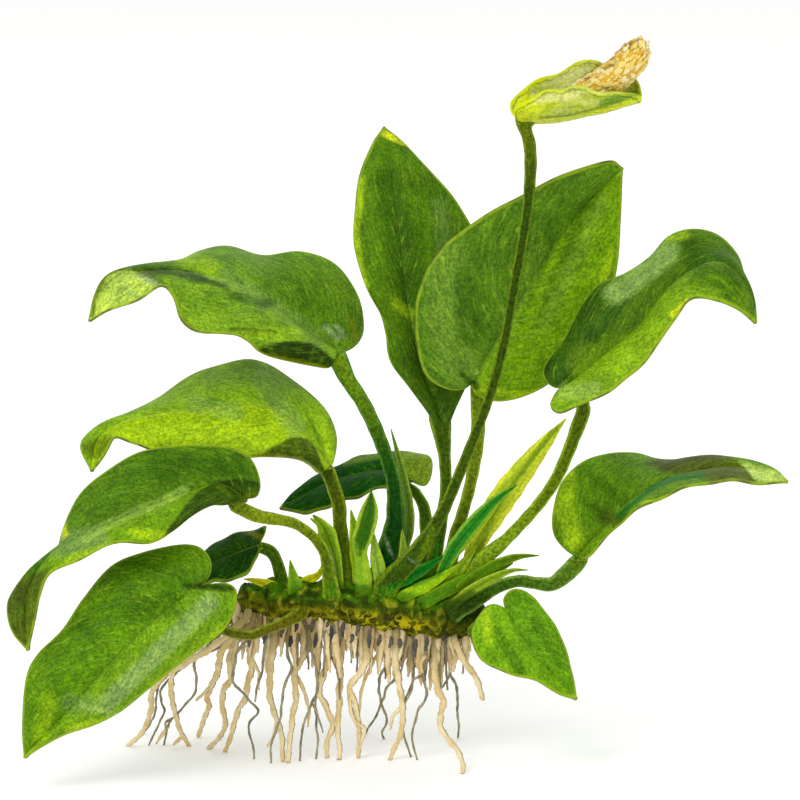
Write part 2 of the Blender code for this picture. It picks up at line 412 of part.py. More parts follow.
def rings_along(line, sides, reach):
    """Rings of points around a line. reach(share, turn) gives the distances aside and in depth."""
    rings = []
    for index, centre in enumerate(line):
        aside, deep = sides_of(line, index)
        ring = []
        for side in range(sides):
            turn = 2 * math.pi * side / sides
            wide, thick = reach(index / (len(line) - 1), turn)
            ring.append(centre + aside * wide * math.cos(turn) + deep * thick * math.sin(turn))
        rings.append(ring)
    return rings


def skin(rings, start_tip, end_tip):
    """The points and faces of a closed tube over the rings, with a point to close each end."""
    sides = len(rings[0])
    points = [point for ring in rings for point in ring] + [start_tip, end_tip]
    start, end = len(points) - 2, len(points) - 1
    last = (len(rings) - 1) * sides
    faces = []
    for side in range(sides):
        beside = (side + 1) % sides
        for ring in range(0, last, sides):
            faces.append((ring + side, ring + beside, ring + sides + beside, ring + sides + side))
        faces.append((start, beside, side))
        faces.append((end, last + side, last + beside))
    return points, faces


def middle_of(ring):
    return sum(ring, Vector()) / len(ring)


# ---- Rhizome ----

RHIZOME_AXIS = smooth_line(placed(RHIZOME_LINE), RHIZOME_RINGS)


def rhizome_reach(share, turn):
    """The rhizome's radius, with leaf scars all along it and lumps on its underside."""
    scar = SCAR_HEIGHT * math.sin(2 * math.pi * SCAR_COUNT * share + 0.8 * math.sin(turn))
    underside = max(0.0, -math.cos(turn))
    lump = LUMP_HEIGHT * underside * math.sin(31 * share) * math.sin(3 * turn + 17 * share)
    radius = value_at(RHIZOME_WIDTHS, share) + scar + lump
    return radius, radius


def make_rhizome():
    """The rhizome, and a tree of its faces for the pieces that meet it."""
    rings = rings_along(RHIZOME_AXIS, RHIZOME_SIDES, rhizome_reach)
    start_tip = RHIZOME_AXIS[0] * 2 - RHIZOME_AXIS[1]
    end_tip = RHIZOME_AXIS[-1] * 2 - RHIZOME_AXIS[-2]
    points, faces = skin(rings, start_tip, end_tip)
    add_object("rhizome", points, faces, OLIVE, 0.6)
    return BVHTree.FromPolygons(points, faces)


def off_rhizome(point, rhizome_skin):
    """The point, moved straight out from the rhizome's axis if it doesn't clear the skin."""
    centres = [start.lerp(end, step / 8) for start, end in zip(RHIZOME_AXIS, RHIZOME_AXIS[1:])
               for step in range(8)]
    centre = min(centres, key=lambda place: (place - point).length)
    outwards = (point - centre).normalized()
    reach = (rhizome_skin.ray_cast(centre, outwards)[0] - centre).length + GAP
    return centre + outwards * max(reach, (point - centre).length)


# ---- Leaves and flower ----

def blade_surface(leaf):
    """Rows of points across the blade's middle surface, from near the sinus to near the tip."""
    rib, left, right = (smooth_line(placed(leaf[line]), 60) for line in ("rib", "left", "right"))
    rows = []
    for row in range(1, BLADE_ROWS):
        share = row / BLADE_ROWS
        rib_share = share ** LOBE_EASE
        ahead = point_at(rib, min(rib_share + 0.05, 1)) - point_at(rib, max(rib_share - 0.05, 0))
        face_up = ahead.cross(point_at(left, share) - point_at(right, share)).normalized()
        taper = math.sin(math.pi * share) ** 0.5
        points = []
        for column in range(-HALF_COLUMNS, HALF_COLUMNS + 1):
            side, margin = ("left", left) if column < 0 else ("right", right)
            outwards = abs(column) / HALF_COLUMNS
            arch = 4 * outwards * (1 - outwards)
            point = point_at(rib, rib_share).lerp(point_at(margin, share), outwards)
            point = point + face_up * leaf["crown"] * arch * taper
            if side in leaf["fold"]:
                across, up, depth = leaf["fold"][side]
                fading = math.sin(math.pi * min(share / leaf["fold_reach"], 1))
                point = point + Vector((across, depth, up)) * arch * fading
            points.append(point)
        rows.append(points)
    return rib[0], rows, rib[-1]


def blade(name, leaf, thickness, roughness):
    """A leaf blade: its middle surface, thickened most at the midrib and closed along the margins."""
    sinus, rows, tip = blade_surface(leaf)
    points = [sinus, tip]
    rings = []
    for row, line in enumerate(rows):
        before = rows[row - 1] if row else [sinus] * len(line)
        after = rows[row + 1] if row < len(rows) - 1 else [tip] * len(line)
        taper = math.sin(math.pi * (row + 1) / BLADE_ROWS) ** 0.5
        top = list(range(len(points), len(points) + len(line)))
        bottom = [top[0]] + [top[-1] + index for index in range(1, len(line) - 1)] + [top[-1]]
        rings.append((top, bottom))
        lower = []
        for column, point in enumerate(line):
            across = line[max(column - 1, 0)] - line[min(column + 1, len(line) - 1)]
            normal = (after[column] - before[column]).cross(across).normalized()
            outwards = abs(column - HALF_COLUMNS) / HALF_COLUMNS
            offset = normal * 0.5 * thickness * (1 - outwards ** 2) * taper
            points.append(point + offset)
            lower.append(point - offset)
        points += lower[1:-1]
    faces = []
    for end, (top, bottom) in ((0, rings[0]), (1, rings[-1])):
        for index in range(2 * HALF_COLUMNS):
            faces.append((end, top[index], top[index + 1]))
            faces.append((end, bottom[index + 1], bottom[index]))
    for ring, next_ring in zip(rings, rings[1:]):
        for near, far in zip(ring, next_ring):
            for index in range(2 * HALF_COLUMNS):
                faces.append((near[index], near[index + 1], far[index + 1], far[index]))
    add_object(name, points, faces, leaf["colour"], roughness)


def stem(name, points, widths, colour, rhizome_skin, flatness=1.0):
    """A stalk or a young leaf from its free end down to the rhizome, where it stops at the skin."""
    line = placed(points)
    count = max(4, round(line_length(line) / STALK_STEP) + 1)

    def reach(share, turn):
        half_width = value_at(widths, share)
        return half_width, half_width * flatness

    rings = rings_along(smooth_line(line, count), STALK_SIDES, reach)
    for ring in rings[-SEAM_RINGS:]:
        ring[:] = [off_rhizome(point, rhizome_skin) for point in ring]
    foot = off_rhizome(middle_of(rings[-1]), rhizome_skin)
    add_object(name, *skin(rings, middle_of(rings[0]), foot), colour, 0.45)


def make_leaves(rhizome_skin):
    for name, leaf in LEAVES.items():
        blade(f"{name}_blade", leaf, BLADE_THICKNESS, 0.35)
        stem(f"{name}_stalk", leaf["stalk"], leaf["widths"], STALK_GREEN, rhizome_skin)
    for name, young in YOUNG_LEAVES.items():
        stem(name, young["line"], young["widths"], young["colour"], rhizome_skin, young["flatness"])


def make_flower(rhizome_skin):
    stem("flower_stalk", FLOWER_STALK, FLOWER_STALK_WIDTHS, STALK_GREEN, rhizome_skin, flatness=0.8)
    blade("spathe", SPATHE, SPATHE_THICKNESS, 0.4)
    make_spadix()


def make_spadix():
    """The flower spike: rows of florets stand out by turns along a blunt, tapering finger."""
    line = smooth_line(placed(SPADIX_LINE), SPADIX_RINGS)

    def reach(share, turn):
        ring = round(share * (SPADIX_RINGS - 1))
        side = round(turn * SPADIX_SIDES / (2 * math.pi))
        floret = FLORET_HEIGHT if (ring + side) % 2 else -FLORET_HEIGHT
        radius = SPADIX_RADIUS * min(1, 0.45 + 1.6 * share, 4.2 * (1.04 - share)) ** 0.6 + floret
        return radius, radius

    foot = line[0] * 1.5 - line[1] * 0.5
    tip = line[-1] * 1.5 - line[-2] * 0.5
    add_object("spadix", *skin(rings_along(line, SPADIX_SIDES, reach), foot, tip), SPADIX_CREAM, 0.6)


# ---- Roots ----

def make_root(name, points, first_depth, last_depth, lands, widths, colour, rhizome_skin):
    """A wiry root from the rhizome down; one that lands is cut flat on the floor."""
    steps = len(points) - 1
    line = [seen(across, up, first_depth + (last_depth - first_depth) * (index / steps) ** ROOT_SPREAD)
            for index, (across, up) in enumerate(points)]
    path = smooth_line(line, max(4, round(line_length(line) / ROOT_STEP) + 1))

    def reach(share, turn):
        half_width = value_at(widths, share)
        return half_width, half_width

    rings = rings_along(path, ROOT_SIDES, reach)
    for ring in rings[:2]:
        ring[:] = [off_rhizome(point, rhizome_skin) for point in ring]
    if lands:
        rings[-1] = [Vector((point.x, point.y, 0)) for point in rings[-1]]
    head = off_rhizome(middle_of(rings[0]), rhizome_skin)
    add_object(name, *skin(rings, head, middle_of(rings[-1])), colour, 0.8)


def make_roots(rhizome_skin):
    roots = [(points, depth, depth_on_floor(*points[-1]), True) for depth, points in LANDING_ROOTS]
    roots += [(points, depth, end_depth, False) for depth, end_depth, points in HANGING_ROOTS]
    for number, root in enumerate(roots, start=1):
        widths, colour = (TAN_WIDTHS, ROOT_TAN) if number % 2 else (GREY_WIDTHS, ROOT_GREY)
        make_root(f"root_{number:02d}", *root, widths, colour, rhizome_skin)


for old in list(bpy.data.objects):
    bpy.data.objects.remove(old)
rhizome_faces = make_rhizome()
make_leaves(rhizome_faces)
make_flower(rhizome_faces)
make_roots(rhizome_faces)
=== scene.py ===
"""Looks of a flowering anubias with bare roots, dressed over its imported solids.

Lengths are in millimetres until a mesh is made. A curve is written as (across, up, depth): across and up are
read on an upright drawing plane through the middle of the plant, as seen from the front, and depth moves the
point away from the viewer along the line of sight. The shapes are those of the solids, apart from shifts of
up to 2 mm at some stalks, the spathe and the spadix, and grey roots that are thinner.
"""

import json
import math

import bpy
import numpy as np
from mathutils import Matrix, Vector, noise


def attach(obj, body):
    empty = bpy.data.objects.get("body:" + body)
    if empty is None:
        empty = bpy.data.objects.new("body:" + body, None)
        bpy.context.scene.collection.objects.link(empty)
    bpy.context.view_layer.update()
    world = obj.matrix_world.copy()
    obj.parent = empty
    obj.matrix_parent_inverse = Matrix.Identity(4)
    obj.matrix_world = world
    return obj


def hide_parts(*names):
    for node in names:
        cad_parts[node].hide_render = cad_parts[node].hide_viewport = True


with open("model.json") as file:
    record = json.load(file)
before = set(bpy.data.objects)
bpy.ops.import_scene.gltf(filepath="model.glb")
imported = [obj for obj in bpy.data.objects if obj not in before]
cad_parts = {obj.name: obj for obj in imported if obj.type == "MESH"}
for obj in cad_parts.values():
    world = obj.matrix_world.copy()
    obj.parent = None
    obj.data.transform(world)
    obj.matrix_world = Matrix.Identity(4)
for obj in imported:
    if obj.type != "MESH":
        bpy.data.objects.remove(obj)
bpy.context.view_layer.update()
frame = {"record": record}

# ---- The view ----

MM = 0.001
VIEW_DISTANCE = 888.9            # mm, from the eye to the middle of the plant
VIEW_RISE = math.radians(8)      # the eye looks down by this much
VIEW_HEIGHT = 73.0               # mm, the height that the eye looks at
LENS, SENSOR = 200, 36           # mm
CLIP = (0.05, 20)                # metres, the nearest and farthest that the camera sees
RIGHT = np.array([1, 0, 0])
EYE_AHEAD = np.array([0, math.cos(VIEW_RISE), -math.sin(VIEW_RISE)])
EYE_UP = np.array([0, math.sin(VIEW_RISE), math.cos(VIEW_RISE)])
LOOKED_AT = np.array([-0.5, 1.4, VIEW_HEIGHT])
EYE = LOOKED_AT - EYE_AHEAD * VIEW_DISTANCE
WORLD_STRENGTH = 0.98
FLOOR_HALF = 8                   # metres
LAMPS = [                        # name, place in metres, size in metres, power in watts
    ("key", (-0.9, -1.3, 1.5), 1.1, 14),
    ("fill", (1.3, -1.0, 0.6), 1.2, 3),
    ("back", (0.4, 1.2, 1.3), 0.9, 3),
]

# ---- Shapes ----

BLADE_ROWS = 110                 # cross sections from the sinus to the tip
HALF_COLUMNS = 26                # faces from the midrib to the margin
END_TURN = 0.03                  # keeps the outermost cross sections off the sinus and the tip
LOBE_EASE = 1.6                  # above 1, the veins of the base fan out into the lobes
FOLD_REACH = 0.4                 # of a blade's length, where the leaf gives no other
VEIN_SLANT, VEIN_BOW = 0.3, 1.25     # how far the side veins run on towards the tip, and how they bow
SIDE_VEINS, QUILT = 15, 0.07     # the blade is raised between its side veins, by so many mm
GROOVE, GROOVE_REACH = 0.3, 0.45     # mm, along the midrib above, and how far it goes to each side
KEEL, KEEL_REACH = 0.55, 0.6     # mm, the same below
RIPPLE, WAVES = 0.3, 5           # mm, how far the margin ripples, and how often along the blade
BLADE_THICKNESS = 0.9            # mm, at the midrib
SPATHE_THICKNESS = 0.7           # mm
MARGIN_HALF, RIB_HALF = 0.3, 0.5     # half thickness at the margin and at the midrib, as shares of it all
STEM_SIDES = 24                  # faces round a stalk
STEM_RINGS, STEM_STEP = 24, 0.5  # its rings, at least, and mm between them
FOOT_REACH = 4                   # mm, how far up the widening of a stalk's foot goes
UNEVEN = 0.03                    # how much thicker and thinner a stalk gets by turns
INTO_RHIZOME = 3.0               # mm that a stalk or root goes on inside the rhizome
FLORETS = 760
FLORET_SIZE = 0.33               # mm, half the width of a floret
FLORET_SIDES = 7
FLORET_RINGS = (                 # height and width as shares of the floret's, and how raised it counts
    (-0.1, 1.15, 0), (0.55, 1.0, 0.6), (0.9, 0.62, 1.0), (0.72, 0.25, 0.75),
)
FLORET_TOP = 0.55                # how raised the middle of its top counts
GOLDEN_ANGLE = math.pi * (3 - math.sqrt(5))

# Each leaf: rib from the sinus to the tip, then the points of the margins left and right of it between these
# two, all seen with the upper face up, and the stalk. crown bulges each half, and a fold moves the middle of
# a half as far as fold_reach of its length. widths are the stalk's half widths.
LEAVES = {
    "leaf_upper_left": {
        "rib": [(-13, 83, 6), (-20, 87.6, 5), (-27, 93, 4), (-35, 97, 3), (-45, 98.2, 2), (-52, 98.2, 0),
                (-58, 96.4, -2), (-62, 88.8, -5)],
        "left": [(-14, 79.8, 2.4), (-17, 79.8, 1), (-23, 81.2, -1), (-28, 82.5, -4), (-30.4, 84.9, -6),
                 (-33, 86.3, -8), (-40, 86.4, -9), (-43.6, 89.2, -9), (-45.4, 93.6, -8), (-48, 95.6, -8),
                 (-52.6, 93, -8), (-58.6, 90.8, -7)],
        "right": [(-11, 82.8, 8), (-8.4, 84.6, 11), (-7.4, 88, 13), (-8.8, 94.2, 16), (-13, 100.2, 18),
                  (-20, 102.4, 19), (-27, 101.9, 19), (-34, 103.5, 18), (-40, 102.6, 15), (-45.6, 100.4, 11),
                  (-52, 99.1, 6), (-58.4, 97.6, 0), (-61, 93.6, -4)],
        "stalk": [(-13.6, 82.6, 7.6), (-12.2, 80.8, 6.6), (-10.5, 77.2, 6), (-7.6, 72.8, 6), (-5.2, 68, 5.5),
                  (-3, 62.4, 5), (-1.4, 57, 4), (-0.9, 52, 3), (-1, 48, 2.2), (-2.2, 43.4, 1.6),
                  (-3.8, 37, 1)],
        "widths": (1.3, 1.5, 1.5, 1.45, 1.4, 1.5, 1.9, 2.3, 2.4),
        "crown": 1.6, "fold": {"left": (0, 0, -4)}, "fold_reach": 0.5,
    },
    "leaf_middle_left": {
        "rib": [(-14.4, 60, -1), (-22, 69.4, -1), (-32, 72, -2), (-44, 70.6, -3), (-54, 68.6, -4),
                (-60, 65.4, -5), (-61.6, 58.8, -7)],
        "left": [(-16.2, 58.6, -2.6), (-18, 60, -3.6), (-20.4, 61.2, -4.6), (-24, 61.8, -6), (-28, 61.7, -8),
                 (-32, 61.2, -9), (-40, 61.4, -9), (-48, 62.4, -9), (-53.4, 64.4, -9), (-57, 65.6, -9),
                 (-58.8, 62.4, -8)],
        "right": [(-13.6, 60.6, 1), (-12.8, 65.4, 4), (-14.6, 70.2, 6), (-18.4, 74.5, 8), (-22.4, 77.6, 10),
                  (-27.2, 80.1, 12), (-32, 80.9, 12), (-40, 78.5, 11), (-48, 73.7, 8), (-56, 69.2, 2),
                  (-61.4, 67, -2), (-63.8, 63.6, -5)],
        "stalk": [(-14.8, 59.4, 0.6), (-14, 57.6, -0.4), (-13.2, 55.4, -1), (-12.2, 52, -1), (-12, 48, -1),
                  (-11.4, 43.6, -0.8), (-10.2, 36, -0.6)],
        "widths": (1.2, 1.4, 1.4, 1.5, 1.7),
        "crown": 1.4, "fold": {"left": (0, 0, -3)},
    },
    "leaf_far_left": {
        "rib": [(-31.2, 53.4, -14), (-36, 56, -15), (-42, 54.6, -17), (-50, 51.4, -20), (-60, 46.8, -23),
                (-69, 42.2, -25), (-74, 35, -27), (-74.4, 23, -29)],
        "left": [(-35, 52.2, -17), (-38, 52, -19), (-42, 49.8, -22), (-45.6, 46.8, -25), (-49.4, 44.6, -27),
                 (-56, 44.5, -29), (-64, 41.3, -30), (-70, 38, -30), (-72, 34.2, -30), (-73, 29, -30)],
        "right": [(-28.6, 54, -13), (-28.2, 57.4, -12.5), (-30.4, 61.6, -12), (-36, 63.6, -12),
                  (-45, 63.6, -12), (-52.4, 62.2, -13), (-59, 58.6, -15), (-63.8, 54, -17),
                  (-67.2, 47.6, -20), (-68.8, 42.4, -22), (-71.8, 38.7, -23.6), (-75.6, 36.4, -25),
                  (-78.4, 32.4, -27), (-77.6, 27, -28)],
        "stalk": [(-33.2, 52.2, -12.2), (-31, 50.9, -12.4), (-28, 49.7, -12), (-22, 48.6, -10),
                  (-19, 47, -8), (-16.4, 44.6, -6.4), (-14.8, 41.4, -5.4), (-13.8, 35, -4.4)],
        "widths": (1.1, 1.3, 1.1, 1.0, 1.1, 1.4),
        "crown": 1.4, "fold": {"left": (0, 0, -3)}, "fold_reach": 0.5,
    },
    "leaf_front_left": {
        "rib": [(-42, 34.8, -24), (-50, 28, -27), (-58, 20, -29), (-67, 10, -31), (-75, 1.6, -32)],
        "left": [(-39, 35.4, -23), (-35, 36.2, -22), (-32.8, 34.6, -22), (-33.6, 30, -23), (-36.4, 26, -24),
                 (-42, 22, -25), (-50, 15.6, -27), (-56, 10.8, -29), (-61, 8.2, -30), (-67, 6.2, -31),
                 (-71.6, 3.8, -32)],
        "right": [(-39.4, 36.6, -22.5), (-38, 38.6, -21), (-38.2, 41.4, -20), (-40.6, 43.6, -19.5),
                  (-45, 43.8, -19), (-52, 42.2, -20), (-58, 39.4, -21), (-63.4, 33, -23), (-67.4, 27, -25),
                  (-72.4, 22, -27), (-74.7, 17, -29), (-75.4, 8, -31)],
        "stalk": [(-43, 34.6, -22.6), (-41.2, 32.8, -21.8), (-39.2, 30.6, -21), (-35.6, 27.2, -20),
                  (-30.4, 26, -16), (-27, 27, -12), (-23, 28.6, -8), (-20, 30.4, -4)],
        "widths": (0.8, 1.0, 1.0, 1.0, 1.2),
        "crown": 2.2,
    },
    "leaf_small_left": {
        "rib": [(-28.4, 43.8, 0), (-33, 42, 1), (-39, 39.6, 2), (-47, 36, 3)],
        "left": [(-28.6, 41.6, -1), (-31.4, 37.8, -2), (-37, 36.6, -2), (-42, 35.6, 0)],
        "right": [(-26.8, 47.4, 2), (-28.6, 47, 4), (-34, 45.8, 5), (-37, 44, 6), (-42, 40.6, 5)],
        "stalk": [(-28.8, 43.6, 1.8), (-27.2, 43.3, 1.6), (-25.5, 42.3, 1.8), (-24.3, 39.6, 2),
                  (-23.6, 36, 1.6)],
        "widths": (0.9, 1.1, 1.15, 1.3),
        "crown": 0.8,
    },
    "leaf_back_centre": {
        "rib": [(1.6, 57, 17), (-4, 58.6, 18), (-10, 57.6, 19), (-16, 55.4, 19), (-23.8, 51.2, 18)],
        "left": [(0.4, 54.6, 14), (-3, 55.6, 12), (-8, 53.8, 11), (-13, 52.2, 12), (-18, 50.4, 14)],
        "right": [(4.8, 56, 18), (6.2, 58.4, 20), (5.6, 61.8, 23), (0, 62.4, 25), (-7, 61.8, 26),
                  (-11, 60, 26), (-15.6, 58.2, 25), (-21, 54.6, 21)],
        "stalk": [(1, 56, 18.2), (3, 54.6, 16.4), (4.8, 51.4, 13.5), (5.2, 47, 10), (5.2, 41.8, 7),
                  (4.8, 36, 5)],
        "widths": (0.9, 1.3, 1.3, 1.3),
        "crown": 1.2,
    },
    "leaf_top_left": {
        "rib": [(8.4, 66.4, 8.4), (7.4, 71, 9.6), (4.2, 78.6, 11.3), (1.6, 91, 15), (0, 105, 20),
                (-1.6, 117, 25), (-3.2, 127.4, 30)],
        "left": [(7, 68.4, 8.6), (5.4, 71, 8.8), (1.6, 76, 9.4), (-1.9, 81, 10.4), (-2.8, 86, 11.4),
                 (-4, 90.6, 12.8), (-7.3, 97, 15), (-9, 104, 17.6), (-8.9, 111, 20.6), (-7.9, 118, 24),
                 (-5.4, 124.2, 28)],
        "right": [(9.8, 68.6, 9.2), (10.8, 71, 10), (15, 81, 14), (16.4, 92, 18), (15.8, 103, 23),
                  (12.2, 111.2, 26), (6.6, 118, 28), (0.6, 124.4, 30)],
        "stalk": [(7.8, 70, 11.2), (8.3, 67.2, 9.5), (8.9, 62, 7.8), (9.2, 56, 6.4), (8.8, 52, 5.2),
                  (7.8, 46, 4), (6.8, 41, 2.6), (6, 36, 1.4)],
        "widths": (1.2, 1.5, 1.2, 1.2, 1.2, 1.4, 1.6),
        "crown": 1.4,
    },
    "leaf_top_centre": {
        "rib": [(15.4, 78.4, 5), (21, 87.6, 7), (29, 101, 8), (38, 113, 6), (44.4, 119.4, 2)],
        "left": [(12.8, 75.4, 5), (8.6, 75.6, 4.4), (4.8, 79, 4), (3.2, 88, 4), (4, 95, 4), (8.4, 103.2, 4),
                 (17, 109.7, 4), (24, 113.6, 3), (31, 117.2, 2), (37.4, 119.6, 1), (42.2, 120.7, 1)],
        "right": [(15, 74.4, 6), (20.4, 72.9, 6), (28, 75.3, 7), (35, 81, 8), (40, 89, 8), (43, 98, 7.6),
                  (43.9, 108, 5.6), (44.2, 115, 4)],
        "stalk": [(15.6, 79.6, 7.4), (15.6, 75.6, 8.4), (15.7, 70, 7), (15.4, 64, 5), (14.7, 59.4, 3.8),
                  (13.8, 55, 2.8), (12.4, 50, 1.8), (10.9, 45, 0.9), (9.2, 35, 0)],
        "widths": (1.2, 1.6, 1.4, 1.3, 1.2, 1.2, 1.4, 1.6),
        "crown": 1.6,
    },
    "leaf_upper_right": {
        "rib": [(33.2, 75.4, -7), (40, 81, -7), (48, 87.6, -7), (55, 96, -7), (63, 100.4, -9),
                (68.6, 96, -12), (71, 88.4, -14)],
        "left": [(30.6, 75.8, -5.6), (29, 77.4, -4.4), (29.2, 80, -3.6), (33, 85.2, -2), (36, 91, -1),
                 (40, 96, 0), (45, 98.4, 1), (50.4, 101.6, 2), (54, 105.8, 2), (58.4, 107.2, 1),
                 (63.6, 105.8, -1), (67.4, 102, -4), (69, 97, -8), (70.4, 92, -12)],
        "right": [(31.4, 74, -8), (30.2, 71.8, -10), (32.4, 70.5, -11), (37.4, 72.8, -13), (42.4, 75, -14),
                  (46, 78, -15), (49.4, 81.4, -15.6), (52.2, 84.8, -16), (55, 89.6, -16), (58.4, 93.1, -16),
                  (63.6, 92.9, -16), (67.6, 91.2, -16)],
        "stalk": [(33.6, 75.6, -5.6), (35.6, 73.6, -5.2), (36.7, 71.2, -5), (35.3, 67, -5), (33.4, 62, -4.6),
                  (31.2, 57.2, -4.2), (28.4, 53, -3.8), (24.8, 48.8, -3.2), (20.7, 44.6, -2.6),
                  (16.6, 41, -2), (12.8, 35, -1.2)],
        "widths": (1.0, 1.5, 1.3, 1.25, 1.2, 1.2, 1.2, 1.7, 2.0),
        "crown": 1.6,
    },
    "leaf_lower_right": {
        "rib": [(35.6, 41.6, 1), (39.4, 45, 2), (44, 50, 3), (48, 53.2, 3.4), (53, 56.2, 3.4), (59, 58, 3),
                (67, 59.2, 1), (77.4, 56.6, -4)],
        "left": [(33, 43.4, 2), (30.8, 46.4, 3), (30.8, 51, 5), (32.4, 56.6, 8), (36.6, 60.3, 12),
                 (42, 62.4, 15), (47, 62.2, 17), (52, 60.9, 17), (59, 61.5, 15), (66, 61.4, 9),
                 (72, 60.1, 3), (75.4, 58.7, -1)],
        "right": [(37.8, 41.8, -2), (42.2, 46.5, -5), (45.6, 49.6, -8), (49.2, 52, -10), (53.8, 54.1, -11),
                  (60, 56.1, -11), (66, 56.8, -10), (72, 56.2, -7)],
        "stalk": [(36.2, 41.2, 2.6), (34.8, 39.8, 1.6), (33.2, 38.2, 0), (30.4, 36.2, -1.6), (27, 36.4, -3),
                  (24, 36.8, -4.4), (21, 36.2, -5.4), (18, 34.8, -6), (15, 33, -6), (11, 31, -4)],
        "widths": (1.2, 1.6, 1.5, 1.3, 1.25, 1.25, 1.4, 1.8, 2.0),
        "crown": 1.4,
    },
    "leaf_front_right": {
        "rib": [(21.6, 30.2, -14), (24.4, 25, -15), (29, 19.4, -17), (35.2, 13.2, -19)],
        "left": [(20.8, 33.2, -12), (22.6, 35, -11), (25.4, 34.4, -11), (29, 30.6, -12), (32.4, 25, -14),
                 (34.4, 18, -17)],
        "right": [(19, 32, -14), (16.8, 31, -14.6), (14.4, 26.6, -16), (16, 21.6, -17), (21, 18.6, -18),
                  (27, 17, -19), (32, 14.2, -19)],
        "stalk": [(22, 29.8, -12.8), (20.6, 30.6, -12), (18.6, 31, -10.6), (16.4, 29.4, -8.4),
                  (14.6, 27, -4)],
        "widths": (0.7, 0.8, 0.9),
        "crown": 1.0,
    },
}

# Young leaves and sheaths: a line from the tip to the base, half widths along it, flatness, and the colours
# of the middle, of the edges and of the line down the middle.
YOUNG_LEAVES = {
    "young_leaf_slim": {
        "line": [(-1.8, 67.2, 9.5), (-0.4, 62, 9.2), (0.8, 57, 9), (1.7, 52, 8.4), (1.8, 47.6, 7.4),
                 (0.6, 43, 6), (-1.6, 36, 4.6)],
        "widths": (0.1, 0.7, 1.0, 1.1, 1.1, 1.0), "flatness": 0.8,
        "colours": ((128, 164, 50), (150, 182, 66), (70, 120, 40)),
    },
    "young_leaf_oval": {
        "line": [(-5.7, 54.9, -3.6), (-6.1, 51, -4), (-7, 47.2, -4.2), (-8, 43.6, -4.2), (-7.6, 40, -4),
                 (-7.2, 35, -3.8)],
        "widths": (0.1, 1.7, 2.1, 2.0, 1.3, 1.7, 1.8, 1.4), "flatness": 0.45,
        "colours": ((60, 106, 18), (160, 190, 56), (42, 90, 14)),
    },
    "young_leaf_yellow": {
        "line": [(33.2, 69.3, -1), (29.2, 64.6, -0.6), (25.5, 60, 0), (21.6, 54.8, 0.6), (18.2, 49.6, 1.2),
                 (14.8, 43, 1.6), (13, 35.6, 1.6)],
        "widths": (0.1, 1.4, 2.2, 2.7, 2.6, 1.9, 1.3, 1.2), "flatness": 0.5,
        "colours": ((200, 216, 60), (238, 238, 68), (140, 166, 34)),
    },
    "young_leaf_green": {
        "line": [(23.4, 56, -4), (19.4, 53.2, -4.2), (15.5, 49.2, -4.4), (12.2, 45.2, -4.4),
                 (9.6, 41.2, -4.2), (7.4, 36, -3.6)],
        "widths": (0.1, 1.1, 1.6, 1.6, 1.2, 0.9), "flatness": 0.5,
        "colours": ((48, 132, 34), (134, 176, 54), (24, 98, 20)),
    },
    "sheath_right_upper": {
        "line": [(27.8, 41.9, -6), (24, 41.7, -6.2), (20, 40.5, -6), (16, 38.2, -5.6), (12, 35, -4.8)],
        "widths": (0.1, 0.8, 1.2, 1.4, 1.2), "flatness": 0.5,
        "colours": ((96, 126, 16), (126, 158, 34), (70, 96, 12)),
    },
    "sheath_right_lower": {
        "line": [(25.6, 39, -8.6), (22.4, 38.9, -9), (18.6, 37.4, -9), (14.6, 35.2, -8.4), (10.6, 32, -7)],
        "widths": (0.1, 0.9, 1.1, 1.1), "flatness": 0.5,
        "colours": ((136, 166, 38), (156, 184, 54), (100, 130, 24)),
    },
    "sheath_left": {
        "line": [(-17.4, 50, -3.6), (-15.6, 48, -3.5), (-14.2, 45.2, -3.3), (-13, 41.4, -3),
                 (-12.2, 36, -2.6)],
        "widths": (0.2, 1.9, 1.4, 1.0, 0.9), "flatness": 0.3,
        "colours": ((118, 156, 30), (156, 186, 50), (74, 104, 14)),
    },
    "bract_left": {
        "line": [(-22, 41, -3.6), (-21.6, 38.9, -3.4), (-20.8, 35, -3.2)],
        "widths": (0.1, 1.4, 2.3), "flatness": 0.4,
        "colours": ((120, 162, 34), (140, 180, 44), (96, 136, 26)),
    },
}

# The flower: its stalk from the top to the foot, the spathe, which is given as a leaf is, and the spadix.
FLOWER_STALK = [(25.2, 129.4, -4), (25, 127.5, -4), (25.9, 124.2, -4), (26.1, 119, -4), (25.3, 110, -3.6),
                (22.9, 96, -3.2), (20.7, 84, -3), (18, 74, -3), (13.8, 63, -3.6), (9.2, 52, -4.4),
                (6, 46.4, -4.8), (2.4, 41.4, -5), (-2.4, 36, -3.6)]
FLOWER_STALK_WIDTHS = (1.2, 1.25, 1.05, 1.0, 0.95, 0.95, 1.0, 1.0, 1.05, 1.15, 1.4, 2.2, 2.4)
SPATHE = {                       # its margins meet at its tip, a little beyond the rib
    "rib": [(25.4, 129, -4), (32, 129.2, -4), (40, 131, -4), (45, 132.6, -4.4), (48, 133.6, -5)],
    "left": [(22.6, 130.2, -2), (22.4, 132.6, 0), (25.6, 135.8, 2), (31, 138.2, 4), (38, 141, 5),
             (41.4, 139.8, 5), (44, 138.6, 4), (46.4, 137.8, 1), (47.8, 136, -2)],
    "right": [(23.4, 129.4, -6), (23.4, 131.4, -8), (28, 134.2, -10), (35, 135.6, -11), (41, 134.4, -11),
              (45.4, 134.4, -8.4)],
    "tip": (48.2, 133.8, -5), "crown": 0,
    "fold": {"left": (0, -1.6, 2), "right": (0, -1.6, -2)}, "fold_reach": 1.2,
}
SPADIX_LINE = [(30.8, 131.8, -4), (35, 133.1, -3.8), (39.8, 135.7, -3.6), (43.6, 138.2, -3.4),
               (46.8, 141.7, -3.4), (48.8, 145, -3.4)]
